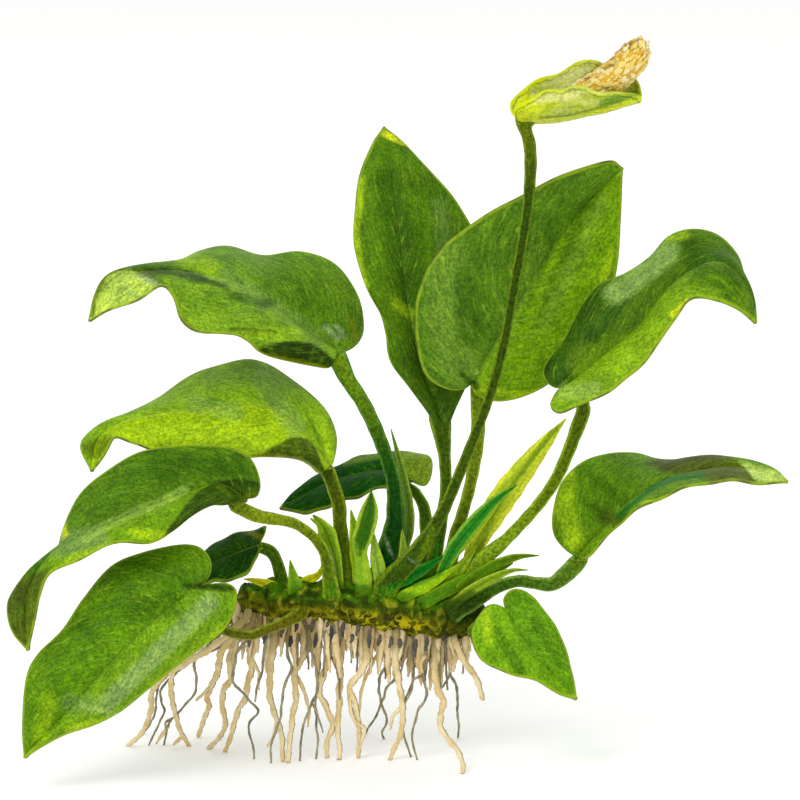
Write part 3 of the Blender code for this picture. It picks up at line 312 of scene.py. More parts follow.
SPADIX_RADIUS = 3.15             # mm

RHIZOME_LINE = [(-32.4, 33, 0.6), (-26, 33.2, 0.4), (-19, 33.2, 0), (-11, 32.6, -0.4), (-3, 31.8, -0.4),
                (5, 31, 0), (11, 30.2, 0.2), (17, 29.2, 0)]
RHIZOME_WIDTHS = (2.8, 3.9, 3.9, 4.2, 4.6, 5.2, 5.2, 3.2)
SCAR_HEIGHT = 0.25               # mm, of the rings that fallen leaves left
SCAR_COUNT = 9
ROUNDED_ENDS = 0.035             # how much of its length each end is rounded off
WRINKLES = (29.7, 2.2, 2.2)      # how closely they lie, along the rhizome and round it
KNOBS = (36, 3.6, 3.6)           # how closely they lie

# Roots: the depth at which each leaves the rhizome, and how it runs on the drawing plane, in mm.
# A landing root ends on the floor, and a hanging one ends at the depth given second.
LANDING_ROOTS = [
    (1, [(-32.4, 31), (-39, 25.4), (-45.6, 19.4), (-49.6, 14.6), (-49.8, 11.4), (-50.8, 8.2), (-52.2, 5.8),
         (-54.6, 3.8)]),
    (3, [(-32, 30.6), (-38, 25), (-44.4, 20), (-48.4, 15.6), (-48.8, 11.4), (-50, 8.2), (-51.4, 6.4)]),
    (-3.6, [(-30.8, 29.4), (-37, 24), (-42.4, 20.6), (-45.4, 18.6), (-45.8, 15.8), (-45.6, 13), (-44.8, 9.8),
            (-44, 7), (-42.2, 3.8)]),
    (0.5, [(-31.6, 30), (-37.6, 24.6), (-43.6, 19.4), (-47.4, 15.8), (-47.8, 13), (-47.2, 11), (-47.8, 9),
           (-49, 6.6), (-50.2, 4)]),
    (-1.8, [(-29.6, 28.2), (-33.8, 25), (-36, 22), (-36.4, 18.6), (-37.8, 15.8), (-38.6, 13.6),
            (-38.2, 11.8), (-39.4, 8.8), (-40.4, 5.6)]),
    (3, [(-30, 29), (-35.6, 24), (-40.8, 21), (-40.8, 17.4), (-41.2, 14.2), (-43.6, 11.4), (-46, 8.6),
         (-46.8, 6), (-47.2, 4)]),
    (2, [(-28.8, 27.8), (-32.8, 24.6), (-34, 21), (-33.8, 17.4), (-35.2, 15), (-35.6, 12), (-35, 9),
         (-35.6, 6.2), (-38.4, 3.2)]),
    (-3.4, [(-28.4, 27.8), (-31.4, 24), (-32.8, 22), (-33.2, 19.4), (-33.6, 17), (-32, 14.8), (-30.2, 13),
            (-28.4, 10.8), (-30, 8.6), (-30.2, 6.6), (-29.4, 4), (-29.2, 1.2)]),
    (0.4, [(-27.4, 27.8), (-29.6, 25), (-30, 21.8), (-29.6, 19.4), (-30.4, 16.6), (-30.8, 13.8),
           (-32.2, 11.2), (-33.2, 8.2), (-34, 5.2), (-35, 2.6)]),
    (-3.4, [(-22.2, 26.6), (-22.6, 22.6), (-21.6, 19.2), (-23, 16.4), (-23.6, 13), (-23.8, 9.8), (-24.8, 7),
            (-25.8, 3.8), (-25.8, 0.4)]),
    (-0.2, [(-25, 26.6), (-25.6, 22.6), (-26, 18.6), (-26.2, 15), (-25.6, 11.8), (-24.6, 9), (-23.7, 6.2),
            (-23.5, 3.4), (-23.4, 0.6)]),
    (-2.6, [(-18.2, 25), (-17.4, 21.8), (-16.6, 18.6), (-16.4, 15.4), (-17.6, 12.4), (-19, 9), (-19.8, 5),
            (-20, 0.8)]),
    (2, [(-19.4, 25.8), (-19.2, 22.2), (-20.4, 20), (-21.2, 18.2), (-20.8, 15.4), (-21, 12.2), (-21.6, 9),
         (-22, 5), (-22.4, 0.4)]),
    (3.4, [(-16, 25.8), (-16.2, 21), (-16.4, 16.6), (-16.8, 13), (-16.8, 9), (-16.4, 5), (-16.8, 1.2)]),
    (0.6, [(-13.8, 25.8), (-14, 22.6), (-14.8, 19.4), (-16, 16.6), (-16.2, 14.6), (-15, 12), (-13.8, 9.4),
           (-13.6, 7.2), (-14.6, 5), (-14.6, 3), (-14.6, 1.4)]),
    (1.4, [(-2.6, 25), (-2, 22.2), (-2.8, 19.8), (-4, 17.8), (-4.2, 15), (-3.6, 12), (-2.6, 9), (-3.6, 6.6),
           (-3.2, 5.2)]),
    (2.4, [(-11.8, 25.8), (-12, 21), (-12, 16), (-12.2, 12), (-12.4, 8.6), (-12.4, 5.4), (-12, 3),
           (-12.2, 1)]),
    (3.6, [(2, 25), (1.6, 22.6), (0.4, 20.6), (-1, 19), (-1.2, 17), (-2.6, 15.4), (-3.4, 13), (-4.6, 10.2),
           (-6.2, 7.6), (-6.8, 6.4)]),
    (-2.6, [(-6.8, 25), (-6.6, 21.4), (-7.8, 18.6), (-9.6, 16.6), (-10, 14.8), (-9, 12.2), (-8.4, 9.4),
            (-8.2, 6), (-8.4, 1.4)]),
    (0, [(3, 24), (2.8, 20), (2.4, 16), (1, 13), (0.6, 9.4), (0.6, 6.4), (1.4, 4), (2.2, 1.6)]),
    (-2.6, [(-0.8, 25.8), (-1, 22), (-0.4, 18.6), (0, 15), (0.4, 11.8), (0.4, 8.6), (0.2, 6), (-0.8, 4),
            (-2, 1)]),
    (-3.2, [(5.2, 25), (5.2, 21), (4.6, 17.8), (5.4, 14.6), (4.8, 12.6), (3.6, 11), (3, 8.6), (2.4, 6),
            (2.8, 3.4), (3.4, 1)]),
    (-1, [(6.9, 25), (6.9, 21.4), (7, 17.8), (7.6, 15), (8.8, 12.6), (8, 9.8), (8.2, 7.4), (9.8, 5),
          (11.6, 2.6), (12.6, 0.2), (12.4, -1.8)]),
    (1.6, [(9, 25), (9.6, 21.4), (10.2, 18.2), (11.2, 15.8), (11.6, 13.4), (11.4, 10.6), (11.8, 7.8),
           (11.6, 5.4)]),
]
HANGING_ROOTS = [
    (-2.4, -8, [(11, 25), (12.2, 22.2), (13.8, 19.4), (15.4, 16.8), (16.2, 14.6), (16.6, 13)]),
    (-3.2, -8, [(-26.4, 26.6), (-27.2, 23), (-27.6, 19), (-28.6, 15.4), (-29, 12.6)]),
]
ROOT_SPREAD = 1.3                # above 1, the roots leave straight down and spread lower down
TAN_WIDTHS = (0.85, 0.75, 0.7, 0.62, 0.55, 0.45)     # mm, half widths from the rhizome to the tip
GREY_WIDTHS = (0.38, 0.33, 0.28, 0.24, 0.2)
ROOT_LIFT = 0.02                 # mm, the lowest that a root lies over the floor
ROOT_STEP = 0.45                 # mm between its rings
WANDER = 0.3                     # mm, how far a root wriggles to each side

# Fine side roots: the number of the root that each leaves, and how it runs on the drawing plane.
SIDE_ROOTS = [
    (6, [(-46.4, 8), (-47.4, 6.4), (-48.8, 4.2)]), (3, [(-42.8, 6), (-43.8, 5.4), (-45.4, 4)]),
    (6, [(-45.6, 9.6), (-46.8, 8.4), (-46.6, 6.6)]), (5, [(-37.8, 15.6), (-40, 13.6), (-40.8, 12.8)]),
    (13, [(-21.2, 18.4), (-20, 16.6), (-18.8, 13.6), (-18.2, 11), (-18.4, 7.6)]),
    (15, [(-14, 22.6), (-12.4, 18), (-12, 14), (-12.4, 10)]),
    (16, [(-2.6, 24), (-5.2, 21), (-6.6, 18.2), (-7.6, 15), (-8.2, 10)]),
    (19, [(-9.8, 15), (-10, 12), (-9.2, 9), (-7.4, 7.6), (-7.2, 6.4), (-8.6, 1.6)]),
    (22, [(4.6, 18), (2.6, 17), (2.2, 14.6), (1, 12.4)]), (20, [(2.6, 23), (2.6, 21), (2.4, 17.8)]),
    (22, [(5.2, 22), (4.2, 20.4), (4.6, 18.4)]), (24, [(10, 19), (9.8, 17.4), (8.4, 15.4), (7.4, 14.4)]),
    (11, [(-24.6, 9), (-25.2, 6), (-26.6, 3.6)]), (9, [(-30, 21.8), (-28.4, 18.6), (-28.2, 15)]),
    (12, [(-17.6, 12.4), (-16.2, 9.4), (-15.4, 6.4)]), (21, [(0.4, 11.8), (-1.4, 9.6), (-2, 7)]),
]
TAN_SIDE_WIDTHS = (0.42, 0.4, 0.34, 0.2)     # mm, half widths
GREY_SIDE_WIDTHS = (0.26, 0.22, 0.14)

# Short dark stubs among the root heads under the rhizome: how far across they hang, and how high they start
# and end.
STUBS = [(-27, 27, 24.2), (-23.4, 27.8, 25.4), (-20.6, 28.4, 26.6), (-17.4, 29, 26.6), (-16.8, 26.4, 23.4),
         (-14.4, 28.8, 27.6), (-13.6, 27.8, 24.6), (-11.2, 28.6, 25.6), (-8.4, 28.2, 25.8), (-9.6, 26, 24.4),
         (-6, 27, 23.4), (-1.8, 25.6, 23.4), (0.2, 25.2, 23.4), (3.2, 25.2, 21.6), (5.4, 25.4, 22.8),
         (9, 26.2, 24.8), (-30, 26, 23.6), (-21.8, 25.8, 23.6), (-4, 26, 23.8)]
STUB_WIDTHS = (0.3, 0.45, 0.2)   # mm, half widths

# The mat of short roots under the rhizome.
MAT_ROOTS = 170
MAT_REACH = 0.94                 # of the rhizome's length, from its left end
MAT_LENGTHS = (2.2, 9.5)         # mm below the rhizome, at least and more at most
MAT_LEAN, MAT_DEPTH = 3.2, 5.4   # mm, how widely they spread across and in depth

# ---- Colours, as sRGB ----

LIME, PALE, YELLOW = (156, 190, 34), (182, 208, 104), (208, 216, 44)
OLIVE, MOSS, DEEP, DARK = (114, 122, 18), (74, 92, 8), (50, 90, 8), (34, 58, 5)
# GREY and SILVER serve as painted sheen: pale streaks of light on the leaves and on the feet of the stalks.
GREY, SILVER, BLUE_GREEN = (114, 146, 74), (158, 178, 136), (8, 106, 22)

# Greens of the halves left and right of the midrib and of the underside. The halves differ as painted light
# and shade, and the dark greens of leaf_small_left and leaf_back_centre are painted shade on leaves further
# back.
LEAF_GREENS = {
    "leaf_upper_left": ((110, 150, 34), (92, 132, 24), (150, 184, 72)),
    "leaf_middle_left": ((150, 184, 30), (122, 162, 32), (150, 178, 56)),
    "leaf_far_left": ((106, 148, 24), (74, 114, 18), (100, 130, 30)),
    "leaf_front_left": ((106, 148, 26), (86, 130, 18), (112, 150, 40)),
    "leaf_small_left": ((24, 70, 8), (30, 74, 12), (66, 98, 24)),
    "leaf_back_centre": ((14, 76, 8), (16, 82, 8), (86, 118, 34)),
    "leaf_top_left": ((80, 120, 16), (74, 114, 14), (110, 146, 42)),
    "leaf_top_centre": ((80, 120, 24), (104, 146, 20), (112, 146, 44)),
    "leaf_upper_right": ((72, 108, 14), (114, 154, 30), (116, 146, 42)),
    "leaf_lower_right": ((92, 136, 22), (100, 142, 22), (120, 146, 30)),
    "leaf_front_right": ((90, 138, 22), (108, 156, 26), (118, 152, 44)),
}

# Brush strokes as (colour, strength, reach to each side in mm, points across and up the drawing). A later
# one lies over the earlier ones, and one that reaches 0 fills the shape between its points.
PAINT = {
    "leaf_upper_left_blade": [
        (DEEP, 0.55, 6, (-24, 98), (-16, 92), (-11, 89)),
        (DEEP, 0.16, 2.8, (-37, 93), (-31, 91), (-24, 89.6)),
        # The GREY and SILVER strokes of this leaf are painted sheen.
        (GREY, 0.4, 2.0, (-35, 98), (-30, 95), (-25, 92), (-20, 88), (-16, 84.6)),
        (DEEP, 0.85, 1.5, (-33.4, 93.8), (-26, 92.2)),
        ((178, 204, 84), 0.95, 0, (-62.4, 88.6), (-61.4, 94), (-60, 98), (-57.8, 99.6), (-55, 100),
         (-51, 98.4), (-46.4, 95.6), (-48, 92.6), (-54, 91), (-60, 88.6)),
        (GREY, 0.7, 0.9, (-56, 95.4), (-51, 93)), (SILVER, 0.8, 1.0, (-52.4, 98.4), (-49, 96.6)),
        (LIME, 0.45, 2.6, (-43, 101.4), (-38, 99.6)),
        (DEEP, 0.8, 1.8, (-52, 99.2), (-46, 98.8), (-40, 97.4)),
        (DARK, 0.8, 0.8, (-56, 99.4), (-47, 98.8), (-43, 98), (-39, 97), (-35, 95.6)),
        (MOSS, 0.8, 0.8, (-61.6, 90), (-61.4, 93), (-60, 96), (-59, 98), (-56, 99.4)),
        (MOSS, 0.8, 0.8, (-52, 99), (-48, 96.6), (-45.6, 93), (-44, 89.4), (-42, 87.4)),
        (SILVER, 0.5, 0.7, (-15, 87.6), (-12.4, 85.2)), (SILVER, 0.4, 0.6, (-12.8, 88), (-11, 85.6)),
        (OLIVE, 0.5, 1.1, (-9.8, 89), (-8.8, 85)), (LIME, 0.45, 1.8, (-31, 86.2), (-26, 86.2), (-21, 86.4)),
        (DARK, 0.7, 0.5, (-34, 87.2), (-25, 86.8)),
        # Painted shade: the fold at the base of the near half.
        (DARK, 1.0, 0, (-28.4, 83), (-26, 84.2), (-23, 84.8), (-20, 84.8), (-17.6, 84.4), (-15, 82.6),
         (-12.4, 80.6), (-12.6, 78.6), (-16, 79.2), (-20, 80.2), (-25, 81.4), (-28.4, 82)),
        (OLIVE, 0.85, 0.9, (-30, 83.4), (-28, 82), (-25, 81.4), (-20, 80.4), (-16, 79.4), (-13, 78.6)),
    ],
    "leaf_middle_left_blade": [
        # The GREY strokes are painted sheen.
        (GREY, 0.25, 3.0, (-38, 77), (-30, 78), (-22, 76.6)), (GREY, 0.5, 2.6, (-41, 72.4), (-33, 70.4)),
        (GREY, 0.5, 3, (-28, 77.4), (-24, 72), (-21, 67.6)), (MOSS, 0.7, 2.6, (-62, 63), (-58, 64)),
        (LIME, 0.85, 3.4, (-54, 65), (-45, 66), (-35, 65.6), (-28, 64.6)),
        (LIME, 0.3, 3, (-17, 71), (-14.4, 64)), (DEEP, 0.5, 0.7, (-19, 71), (-15.6, 64)),
        (LIME, 0.6, 1.2, (-15.4, 67), (-13.4, 59.4)),
        # Painted shade: the fold at the base of the near half.
        (DARK, 0.9, 0, (-28, 61.4), (-26, 63.4), (-24, 64.4), (-22, 65.4), (-20, 65.6), (-18, 65),
         (-16.8, 63.4), (-16, 61.4), (-14.6, 58), (-16.4, 57.6), (-18, 59.6), (-20, 60.8), (-26, 61)),
        (OLIVE, 0.85, 0.8, (-29, 61.6), (-26, 61.8), (-22, 61.4), (-20, 61), (-18, 59.8), (-16.4, 58.2)),
    ],
    "leaf_far_left_blade": [
        (DEEP, 0.75, 3.2, (-50, 58.4), (-46, 60), (-40, 60.4), (-33, 59.6)),
        # The GREY stroke is painted sheen.
        (GREY, 0.75, 3.6, (-68, 44), (-61, 45)),
        ((74, 90, 20), 0.95, 0, (-79, 33), (-77.4, 36.4), (-74.4, 38), (-70, 39.4), (-71.4, 33), (-73, 28),
         (-74, 21), (-77, 25)), (LIME, 0.75, 2.0, (-66, 40.6), (-59, 43)),
        (LIME, 0.75, 1.6, (-53, 46.4), (-47, 45.6)),
        ((160, 192, 84), 0.6, 1.4, (-43, 55), (-48, 52.4), (-54, 50.2), (-60, 47.4), (-63, 45)),
        (YELLOW, 0.8, 0.9, (-67.8, 50), (-67, 46)),
        # Painted shade: the fold at the base of the near half.
        (DARK, 0.9, 0, (-47, 46.6), (-45, 49), (-43.6, 51), (-42, 53), (-40, 55), (-37.6, 56.2), (-35, 57),
         (-32, 57.4), (-28.4, 56.6), (-27.6, 54.4), (-31.4, 52.6), (-35.6, 51.6), (-38, 51.4), (-40, 50.4),
         (-44, 47), (-47, 44.6)), (MOSS, 0.85, 1.0, (-31, 53.6), (-28, 54.6)),
    ],
    "leaf_front_left_blade": [
        (DEEP, 0.5, 4, (-57, 38), (-48, 39), (-42, 37)), (DEEP, 0.5, 4, (-64, 27), (-56, 31), (-46, 32)),
        # The grey-green stroke along the midrib and the GREY stroke are painted sheen.
        ((140, 166, 96), 0.7, 2.6, (-38, 32.6), (-48, 22.8), (-58, 13)),
        (GREY, 0.5, 2.6, (-66, 12.4), (-59, 12)), (LIME, 0.45, 2.4, (-72, 6), (-70, 13)),
        (LIME, 0.4, 2.4, (-48, 16), (-41, 22), (-35, 26.6)), (LIME, 0.75, 1.4, (-66, 7), (-56, 9.4)),
        (PALE, 0.7, 0.6, (-64, 12), (-54, 9.4)), (DARK, 0.9, 0.9, (-43, 36), (-38, 35.6), (-33, 35.2)),
    ],
    "leaf_small_left_blade": [
        (OLIVE, 0.8, 0.9, (-31, 47), (-27.4, 45.4)), (DEEP, 0.5, 2, (-36, 42), (-32, 44)),
    ],
    "leaf_back_centre_blade": [
        ((128, 156, 42), 0.95, 0, (-0.6, 63), (3, 63), (7, 62), (7, 57), (5, 55), (3, 54), (-0.4, 54)),
        ((104, 138, 34), 0.9, 1.5, (-11, 61), (-6, 62), (0, 62.6)),
    ],
    "leaf_top_left_blade": [
        (DEEP, 0.8, 4.4, (-3, 117), (0, 105), (2, 94)), (LIME, 0.75, 1.2, (-7.8, 117), (-9, 105), (-7, 95)),
        (YELLOW, 0.85, 1.0, (-3, 126.2), (0.6, 124.6)), (LIME, 0.6, 1.6, (-1, 92.4), (2.4, 90)),
        # The GREY strokes are painted sheen.
        (GREY, 0.35, 2.4, (8, 112), (9.4, 98)), (GREY, 0.3, 2.0, (12.4, 104), (12.4, 92)),
        (DARK, 0.62, 5.5, (3, 82), (6, 76), (8, 70)),
    ],
    "leaf_top_centre_blade": [
        # The first, grey-green stroke is painted sheen.
        ((112, 146, 52), 0.5, 6, (9, 102), (9, 90), (12, 79)), (DEEP, 0.7, 3.6, (13, 97), (14, 86)),
        (DEEP, 0.5, 2.4, (37.4, 111), (30, 94)), (DEEP, 0.5, 2.2, (31, 108), (24, 90)),
        ((120, 156, 46), 0.45, 2.0, (40.4, 113), (34, 99), (29, 88)),
        ((120, 156, 46), 0.4, 2.0, (28, 103), (21, 86)),
        (LIME, 0.8, 1.3, (15, 75.2), (24, 73.8), (32, 75.2)), (LIME, 0.8, 1.2, (42.4, 103), (40.6, 97)),
        (DARK, 0.9, 1.0, (12.4, 78), (15.4, 75.6)),
    ],
    "leaf_upper_right_blade": [
        # The pale grey-green stroke from (43, 94.6) is painted sheen.
        ((46, 82, 10), 0.9, 0, (28, 78.6), (31.2, 75), (36, 79.8), (41.8, 87.6), (46, 93), (42, 97),
         (39, 97.4), (34, 94), (30, 88)), ((134, 168, 86), 0.9, 3.2, (43, 94.6), (48, 98), (53.6, 102.6)),
        ((42, 80, 6), 0.8, 4.6, (59, 102), (63, 100), (66, 96)),
        # Painted shade over the lower half of the tip.
        ((62, 102, 12), 0.65, 3.4, (60, 97.4), (66, 96.4), (69.6, 91)),
        (LIME, 0.6, 1.3, (50, 105), (57, 106)), (LIME, 0.3, 4.6, (37, 80.6), (44, 81.6), (51, 85)),
        (PALE, 0.35, 2.4, (33, 74.6), (38.6, 75)), (YELLOW, 0.8, 0.9, (54.4, 90), (57.6, 92.6)),
        (DARK, 0.9, 1.0, (39, 96), (33, 91), (30, 85), (29.2, 79)),
    ],
    "leaf_lower_right_blade": [
        (LIME, 0.8, 3.0, (33, 58), (32.6, 51), (35, 45)), (DEEP, 0.55, 1.4, (38, 58), (45, 52.4)),
        (DEEP, 0.6, 1.2, (36, 53.4), (41, 50)), (LIME, 0.8, 1.4, (49, 52), (54, 52.6), (60, 55)),
        (MOSS, 0.8, 2.2, (41, 49.4), (47, 48.4)), (PALE, 0.9, 2.2, (69, 59), (76, 57)),
        # Painted shade: the band where the blade bends over.
        ((74, 84, 0), 0.96, 0, (49, 60.6), (56, 61.8), (62, 62.2), (66.4, 61.6), (69, 59.6), (71.4, 56.4),
         (66.4, 56.2), (61.6, 56.8), (56.8, 57.8), (52, 59)),
        ((0, 104, 18), 0.95, 0.8, (60.4, 58), (55, 57.4), (50.8, 55.6), (46.6, 52.3), (43.6, 49.6)),
    ],
    "leaf_front_right_blade": [
        # The DEEP strokes are painted shade beside the midrib.
        (DEEP, 0.6, 1.6, (19, 27), (24, 19)), (DEEP, 0.5, 1.4, (27, 29), (32, 20)),
        (LIME, 0.7, 1.4, (17, 31), (17.6, 25)), (LIME, 0.6, 1.4, (30, 32), (36, 24)),
    ],
    "spathe": [
        ((206, 218, 36), 0.9, 2.4, (24.6, 132), (30, 132)),
        ((204, 206, 120), 0.9, 1.5, (27.4, 133.4), (39.6, 134)),
        ((148, 170, 24), 0.8, 0.8, (29, 131), (36, 131.6)),
        ((206, 210, 132), 0.8, 2.0, (29.6, 137.4), (37, 138.8)),
        # Painted shadow: the grey-green band between the lobes.
        ((150, 166, 84), 0.75, 0.8, (26, 134.8), (31, 135.4), (35, 135.2)),
        ((170, 190, 20), 0.8, 1.2, (42.4, 136.6), (46.6, 135.2)),
        ((70, 124, 8), 0.95, 1.3, (40.6, 132.4), (44, 133.2), (48, 134)),
        ((64, 128, 12), 0.75, 1.0, (37.6, 137.8), (40.8, 138.8)),
        (OLIVE, 0.9, 0.7, (35.6, 136.4), (38, 138), (40.2, 140.4)),
        ((190, 204, 24), 0.85, 0.9, (42.6, 136.8), (46.8, 136)),
        ((148, 168, 20), 0.8, 0.9, (36.4, 133.8), (40.4, 133.4)),
        ((206, 216, 40), 0.9, 0.9, (27, 128.7), (33, 129), (40, 130.7), (48, 133.2)),
        ((104, 128, 12), 0.85, 0.4, (28, 129.5), (34, 130), (40, 131.5), (44, 132.6)),
        ((214, 224, 44), 0.8, 0.6, (22.8, 131), (25.8, 136), (31, 138.4), (38, 141.2)),
    ],
    "young_leaf_yellow": [
        ((98, 134, 24), 0.7, 0.8, (31.4, 68), (26.8, 62), (22.4, 56), (18.4, 49.4), (15.8, 43)),
        ((156, 186, 44), 0.7, 0.8, (29.4, 67.4), (24.6, 62), (19.6, 54)),
    ],
    "young_leaf_oval": [
        ((146, 182, 44), 0.95, 2.6, (-8, 41.4), (-7, 36)), ((44, 98, 14), 0.85, 0.8, (-7, 47), (-8.2, 42)),
    ],
    "rhizome": [
        ((62, 108, 14), 0.85, 2.4, (-24, 35), (-12, 35.2), (-4, 34.8)),
        ((92, 96, 12), 0.8, 2.2, (-32, 33.6), (-28, 32.6)),
        # Painted shadow: a dark line along the middle of the rhizome.
        ((48, 66, 8), 0.8, 1.0, (-26, 32.6), (-18, 32.4), (-8, 32), (0, 31.4), (8, 30)),
        (BLUE_GREEN, 0.9, 1.9, (-3, 36.4), (2, 37), (8, 38.6)),
        ((76, 124, 18), 0.85, 1.8, (-4, 34.4), (2, 33.2), (8, 32.6), (12, 31.6)),
        ((152, 194, 30), 0.8, 0.7, (2.6, 34.6), (7, 36), (11, 38)),
        (DARK, 0.95, 4.6, (12, 32), (14.6, 29), (16.8, 26)),
    ],
}

# Colours of the stalks: of their two edges, painted highlights, then down the stalk from its top to its foot.
STALKS = {
    "leaf_upper_left": ((88, 136, 44), (120, 148, 30), (92, 124, 20), (28, 72, 8), (8, 60, 8), (18, 88, 16)),
    "leaf_middle_left": ((134, 154, 30), (60, 78, 8), (70, 86, 8), (80, 104, 14)),
    "leaf_far_left": ((146, 166, 44), (92, 108, 20), (118, 136, 26), (104, 122, 20), (78, 100, 10),
                      (86, 120, 20)),
    "leaf_front_left": ((140, 152, 36), (66, 92, 8), (82, 92, 14), (96, 92, 18), (88, 90, 16)),
    "leaf_small_left": ((118, 148, 34), (64, 94, 14), (78, 110, 16)),
    "leaf_back_centre": ((120, 156, 36), (60, 88, 10), (60, 94, 12)),
    "leaf_top_left": ((126, 152, 40), (50, 72, 8), (58, 84, 8), (84, 112, 16)),
    "leaf_top_centre": ((150, 174, 52), (98, 124, 18), (98, 118, 20), (84, 106, 16)),
    "leaf_upper_right": ((146, 178, 48), (68, 94, 12), (76, 94, 8), (84, 104, 10), (122, 152, 32),
                         (128, 158, 34)),
    "leaf_lower_right": ((130, 164, 60), (92, 120, 24), (72, 106, 22), (60, 98, 20), (76, 114, 22)),
    "leaf_front_right": ((120, 160, 36), (84, 130, 18), (70, 108, 14)),
    "flower": ((112, 136, 30), (96, 110, 18), (50, 74, 8), (46, 68, 6), (48, 70, 6), (50, 72, 6),
               (54, 76, 8), (50, 74, 8), (52, 78, 8)),
}

FLARES = {"leaf_upper_left": 0.9, "leaf_top_left": 0.9, "leaf_lower_right": 0.5}     # mm, below the blade
OTHER_FLARE = 0.3

# Paint over the feet of all stalks and young leaves.
CROWN_PAINT = [
    # The SILVER streaks are painted sheen on the feet of the stalks.
    (SILVER, 0.4, 0.4, (-3.4, 47), (-2, 42)), (SILVER, 0.35, 0.4, (-2.4, 44.6), (-1.2, 41)),
    (SILVER, 0.35, 0.4, (1.6, 41.4), (4, 40)), (SILVER, 0.4, 0.4, (-14, 43), (-12.8, 38.4)),
    (BLUE_GREEN, 0.7, 1.1, (8.2, 45), (6, 39.8)), ((100, 130, 20), 0.6, 1.0, (6.6, 47), (4, 41)),
    (BLUE_GREEN, 0.8, 1.1, (-2, 35.4), (3, 36.4), (8, 38.4)),
    ((150, 194, 30), 0.75, 0.9, (3, 34.8), (7, 36.6), (11, 38.6)),
    ((84, 132, 20), 0.7, 1.4, (8, 35), (14, 38), (20, 40)),
    ((76, 124, 18), 0.85, 1.5, (-4, 34.6), (2, 33.4), (8, 32.8), (12, 31.8)),
    ((110, 156, 40), 0.6, 0.9, (-9, 44), (-8, 37.4)),
    ((62, 108, 14), 0.9, 1.9, (-21, 34.8), (-12, 35.2), (-4, 34.8)),
    (DARK, 0.8, 2.2, (11, 31), (14, 32), (17, 33)), (DARK, 0.75, 1.9, (8.2, 31), (11, 32.4), (14, 33.8)),
    (DARK, 0.85, 2.0, (8.6, 30), (11.4, 29), (14, 30.6)),
]

# Short sheaths between the stalks: half width, colour, and points from the tip to the foot.
CROWN_SHEATHS = [
    (1.3, (146, 180, 54), [(-13.8, 47, -1), (-13, 42, -1.4), (-12, 37, -1.4)]),
    (1.2, (132, 170, 44), [(-18, 49.4, -0.6), (-15, 46.8, -1), (-12.2, 41, -1)]),
    (1.7, (142, 182, 40), [(-9.8, 51, -1.6), (-8.8, 45, -2), (-7.8, 37.6, -2)]),
    (1.5, (152, 188, 62), [(-5.4, 46.8, -2.8), (-4.8, 42, -3), (-3.8, 36.4, -2.8)]),
    (1.4, (140, 174, 58), [(0.4, 47, -1.4), (0.8, 42, -2), (0.8, 36, -2.2)]),
    (1.6, (98, 128, 20), [(7.4, 45.4, -2.6), (6.4, 40.6, -3), (3.6, 34.8, -3)]),
    (1.5, (112, 148, 26), [(12.6, 45.4, -1.4), (10, 40.6, -2.4), (6, 34.8, -3)]),
    (1.5, (152, 186, 40), [(15.4, 44, -2), (12.4, 39.8, -2.8), (8, 34.4, -3.2)]),
    (1.7, (130, 166, 38), [(20.6, 43.4, -1), (16, 39.8, -1.8), (9.6, 34.6, -2.8)]),
    (1.5, (94, 126, 16), [(22.6, 40.4, -2), (17, 37.6, -2.6), (10.6, 33.4, -3)]),
    (1.5, (82, 124, 20), [(22.4, 36.4, -2.6), (17, 35, -3), (10.6, 32, -3)]),
    (1.3, (56, 84, 10), [(18, 33.2, -3.4), (14, 32.4, -3.4), (9.6, 30.6, -2.8)]),
    # The next two yellow sheaths stand in for yellow glows, one between the foot of the far left stalk and
    # the rhizome and one along the rhizome's top: painted light.
    (1.0, (222, 224, 36), [(-15, 41, -0.4), (-16.4, 38, -0.8), (-20, 36, -1)]),
    (1.1, (206, 208, 40), [(-31.2, 37.2, -0.6), (-29, 36.8, -1), (-25, 35.4, -1.4)]),
    (1.6, (14, 106, 24), [(9, 42, -4.4), (3.6, 38.6, -5.2), (-3, 35.6, -4.2)]),
    (1.3, (150, 192, 34), [(12, 40.2, -4.4), (6.6, 36.6, -5.4), (1, 33.8, -4.6)]),
    (1.5, (84, 132, 20), [(21.4, 41.6, -3), (14, 37.4, -4.6), (5, 32.8, -4.8)]),
    (1.4, (66, 108, 14), [(24, 38, -3), (17, 35.2, -4.2), (9, 31.4, -4.6)]),
    (1.3, (186, 204, 46), [(21.4, 55, -2), (18, 50.6, -2.4), (13.6, 45.6, -2.6), (9.4, 41, -2.6),
     (6.4, 36.6, -2.8)]),
]
SHEATH_SHAPE = (0.1, 0.6, 1, 1, 1.1)     # half widths from the tip to the foot, in shares of the given one

SLOT_OF = {part["node"]: part["material_slot"] for part in frame["record"]["subparts"]}

# ---- Curves ----

def sights(across, up):
    """The lines of sight from the eye to points of the drawing plane."""
    return LOOKED_AT + across * RIGHT + (up - VIEW_HEIGHT) * EYE_UP - EYE


def seen(points):
    """The places of points of the drawing, each given as (across, up, depth)."""
    across, up, depth = np.asarray(points, float).T[:, :, None]
    sight = sights(across, up)
    return EYE + sight * ((LOOKED_AT[1] + depth - EYE[1]) / sight[:, 1:2])


def drawn(places):
    """Where places lie on the drawing plane, across and up."""
    sight = places - EYE
    plane = sight * (VIEW_DISTANCE / (sight @ EYE_AHEAD))[..., None] + EYE - LOOKED_AT
    return plane[..., 0], plane @ EYE_UP + VIEW_HEIGHT


def depth_on_floor(across, up):
    """How deep the floor lies where it is drawn at this point."""
    sight = sights(across, up)
    return (EYE - sight * EYE[2] / sight[2])[1] - LOOKED_AT[1]


def unit(vectors):
    return vectors / np.maximum(np.linalg.norm(vectors, axis=-1, keepdims=True), 1e-9)


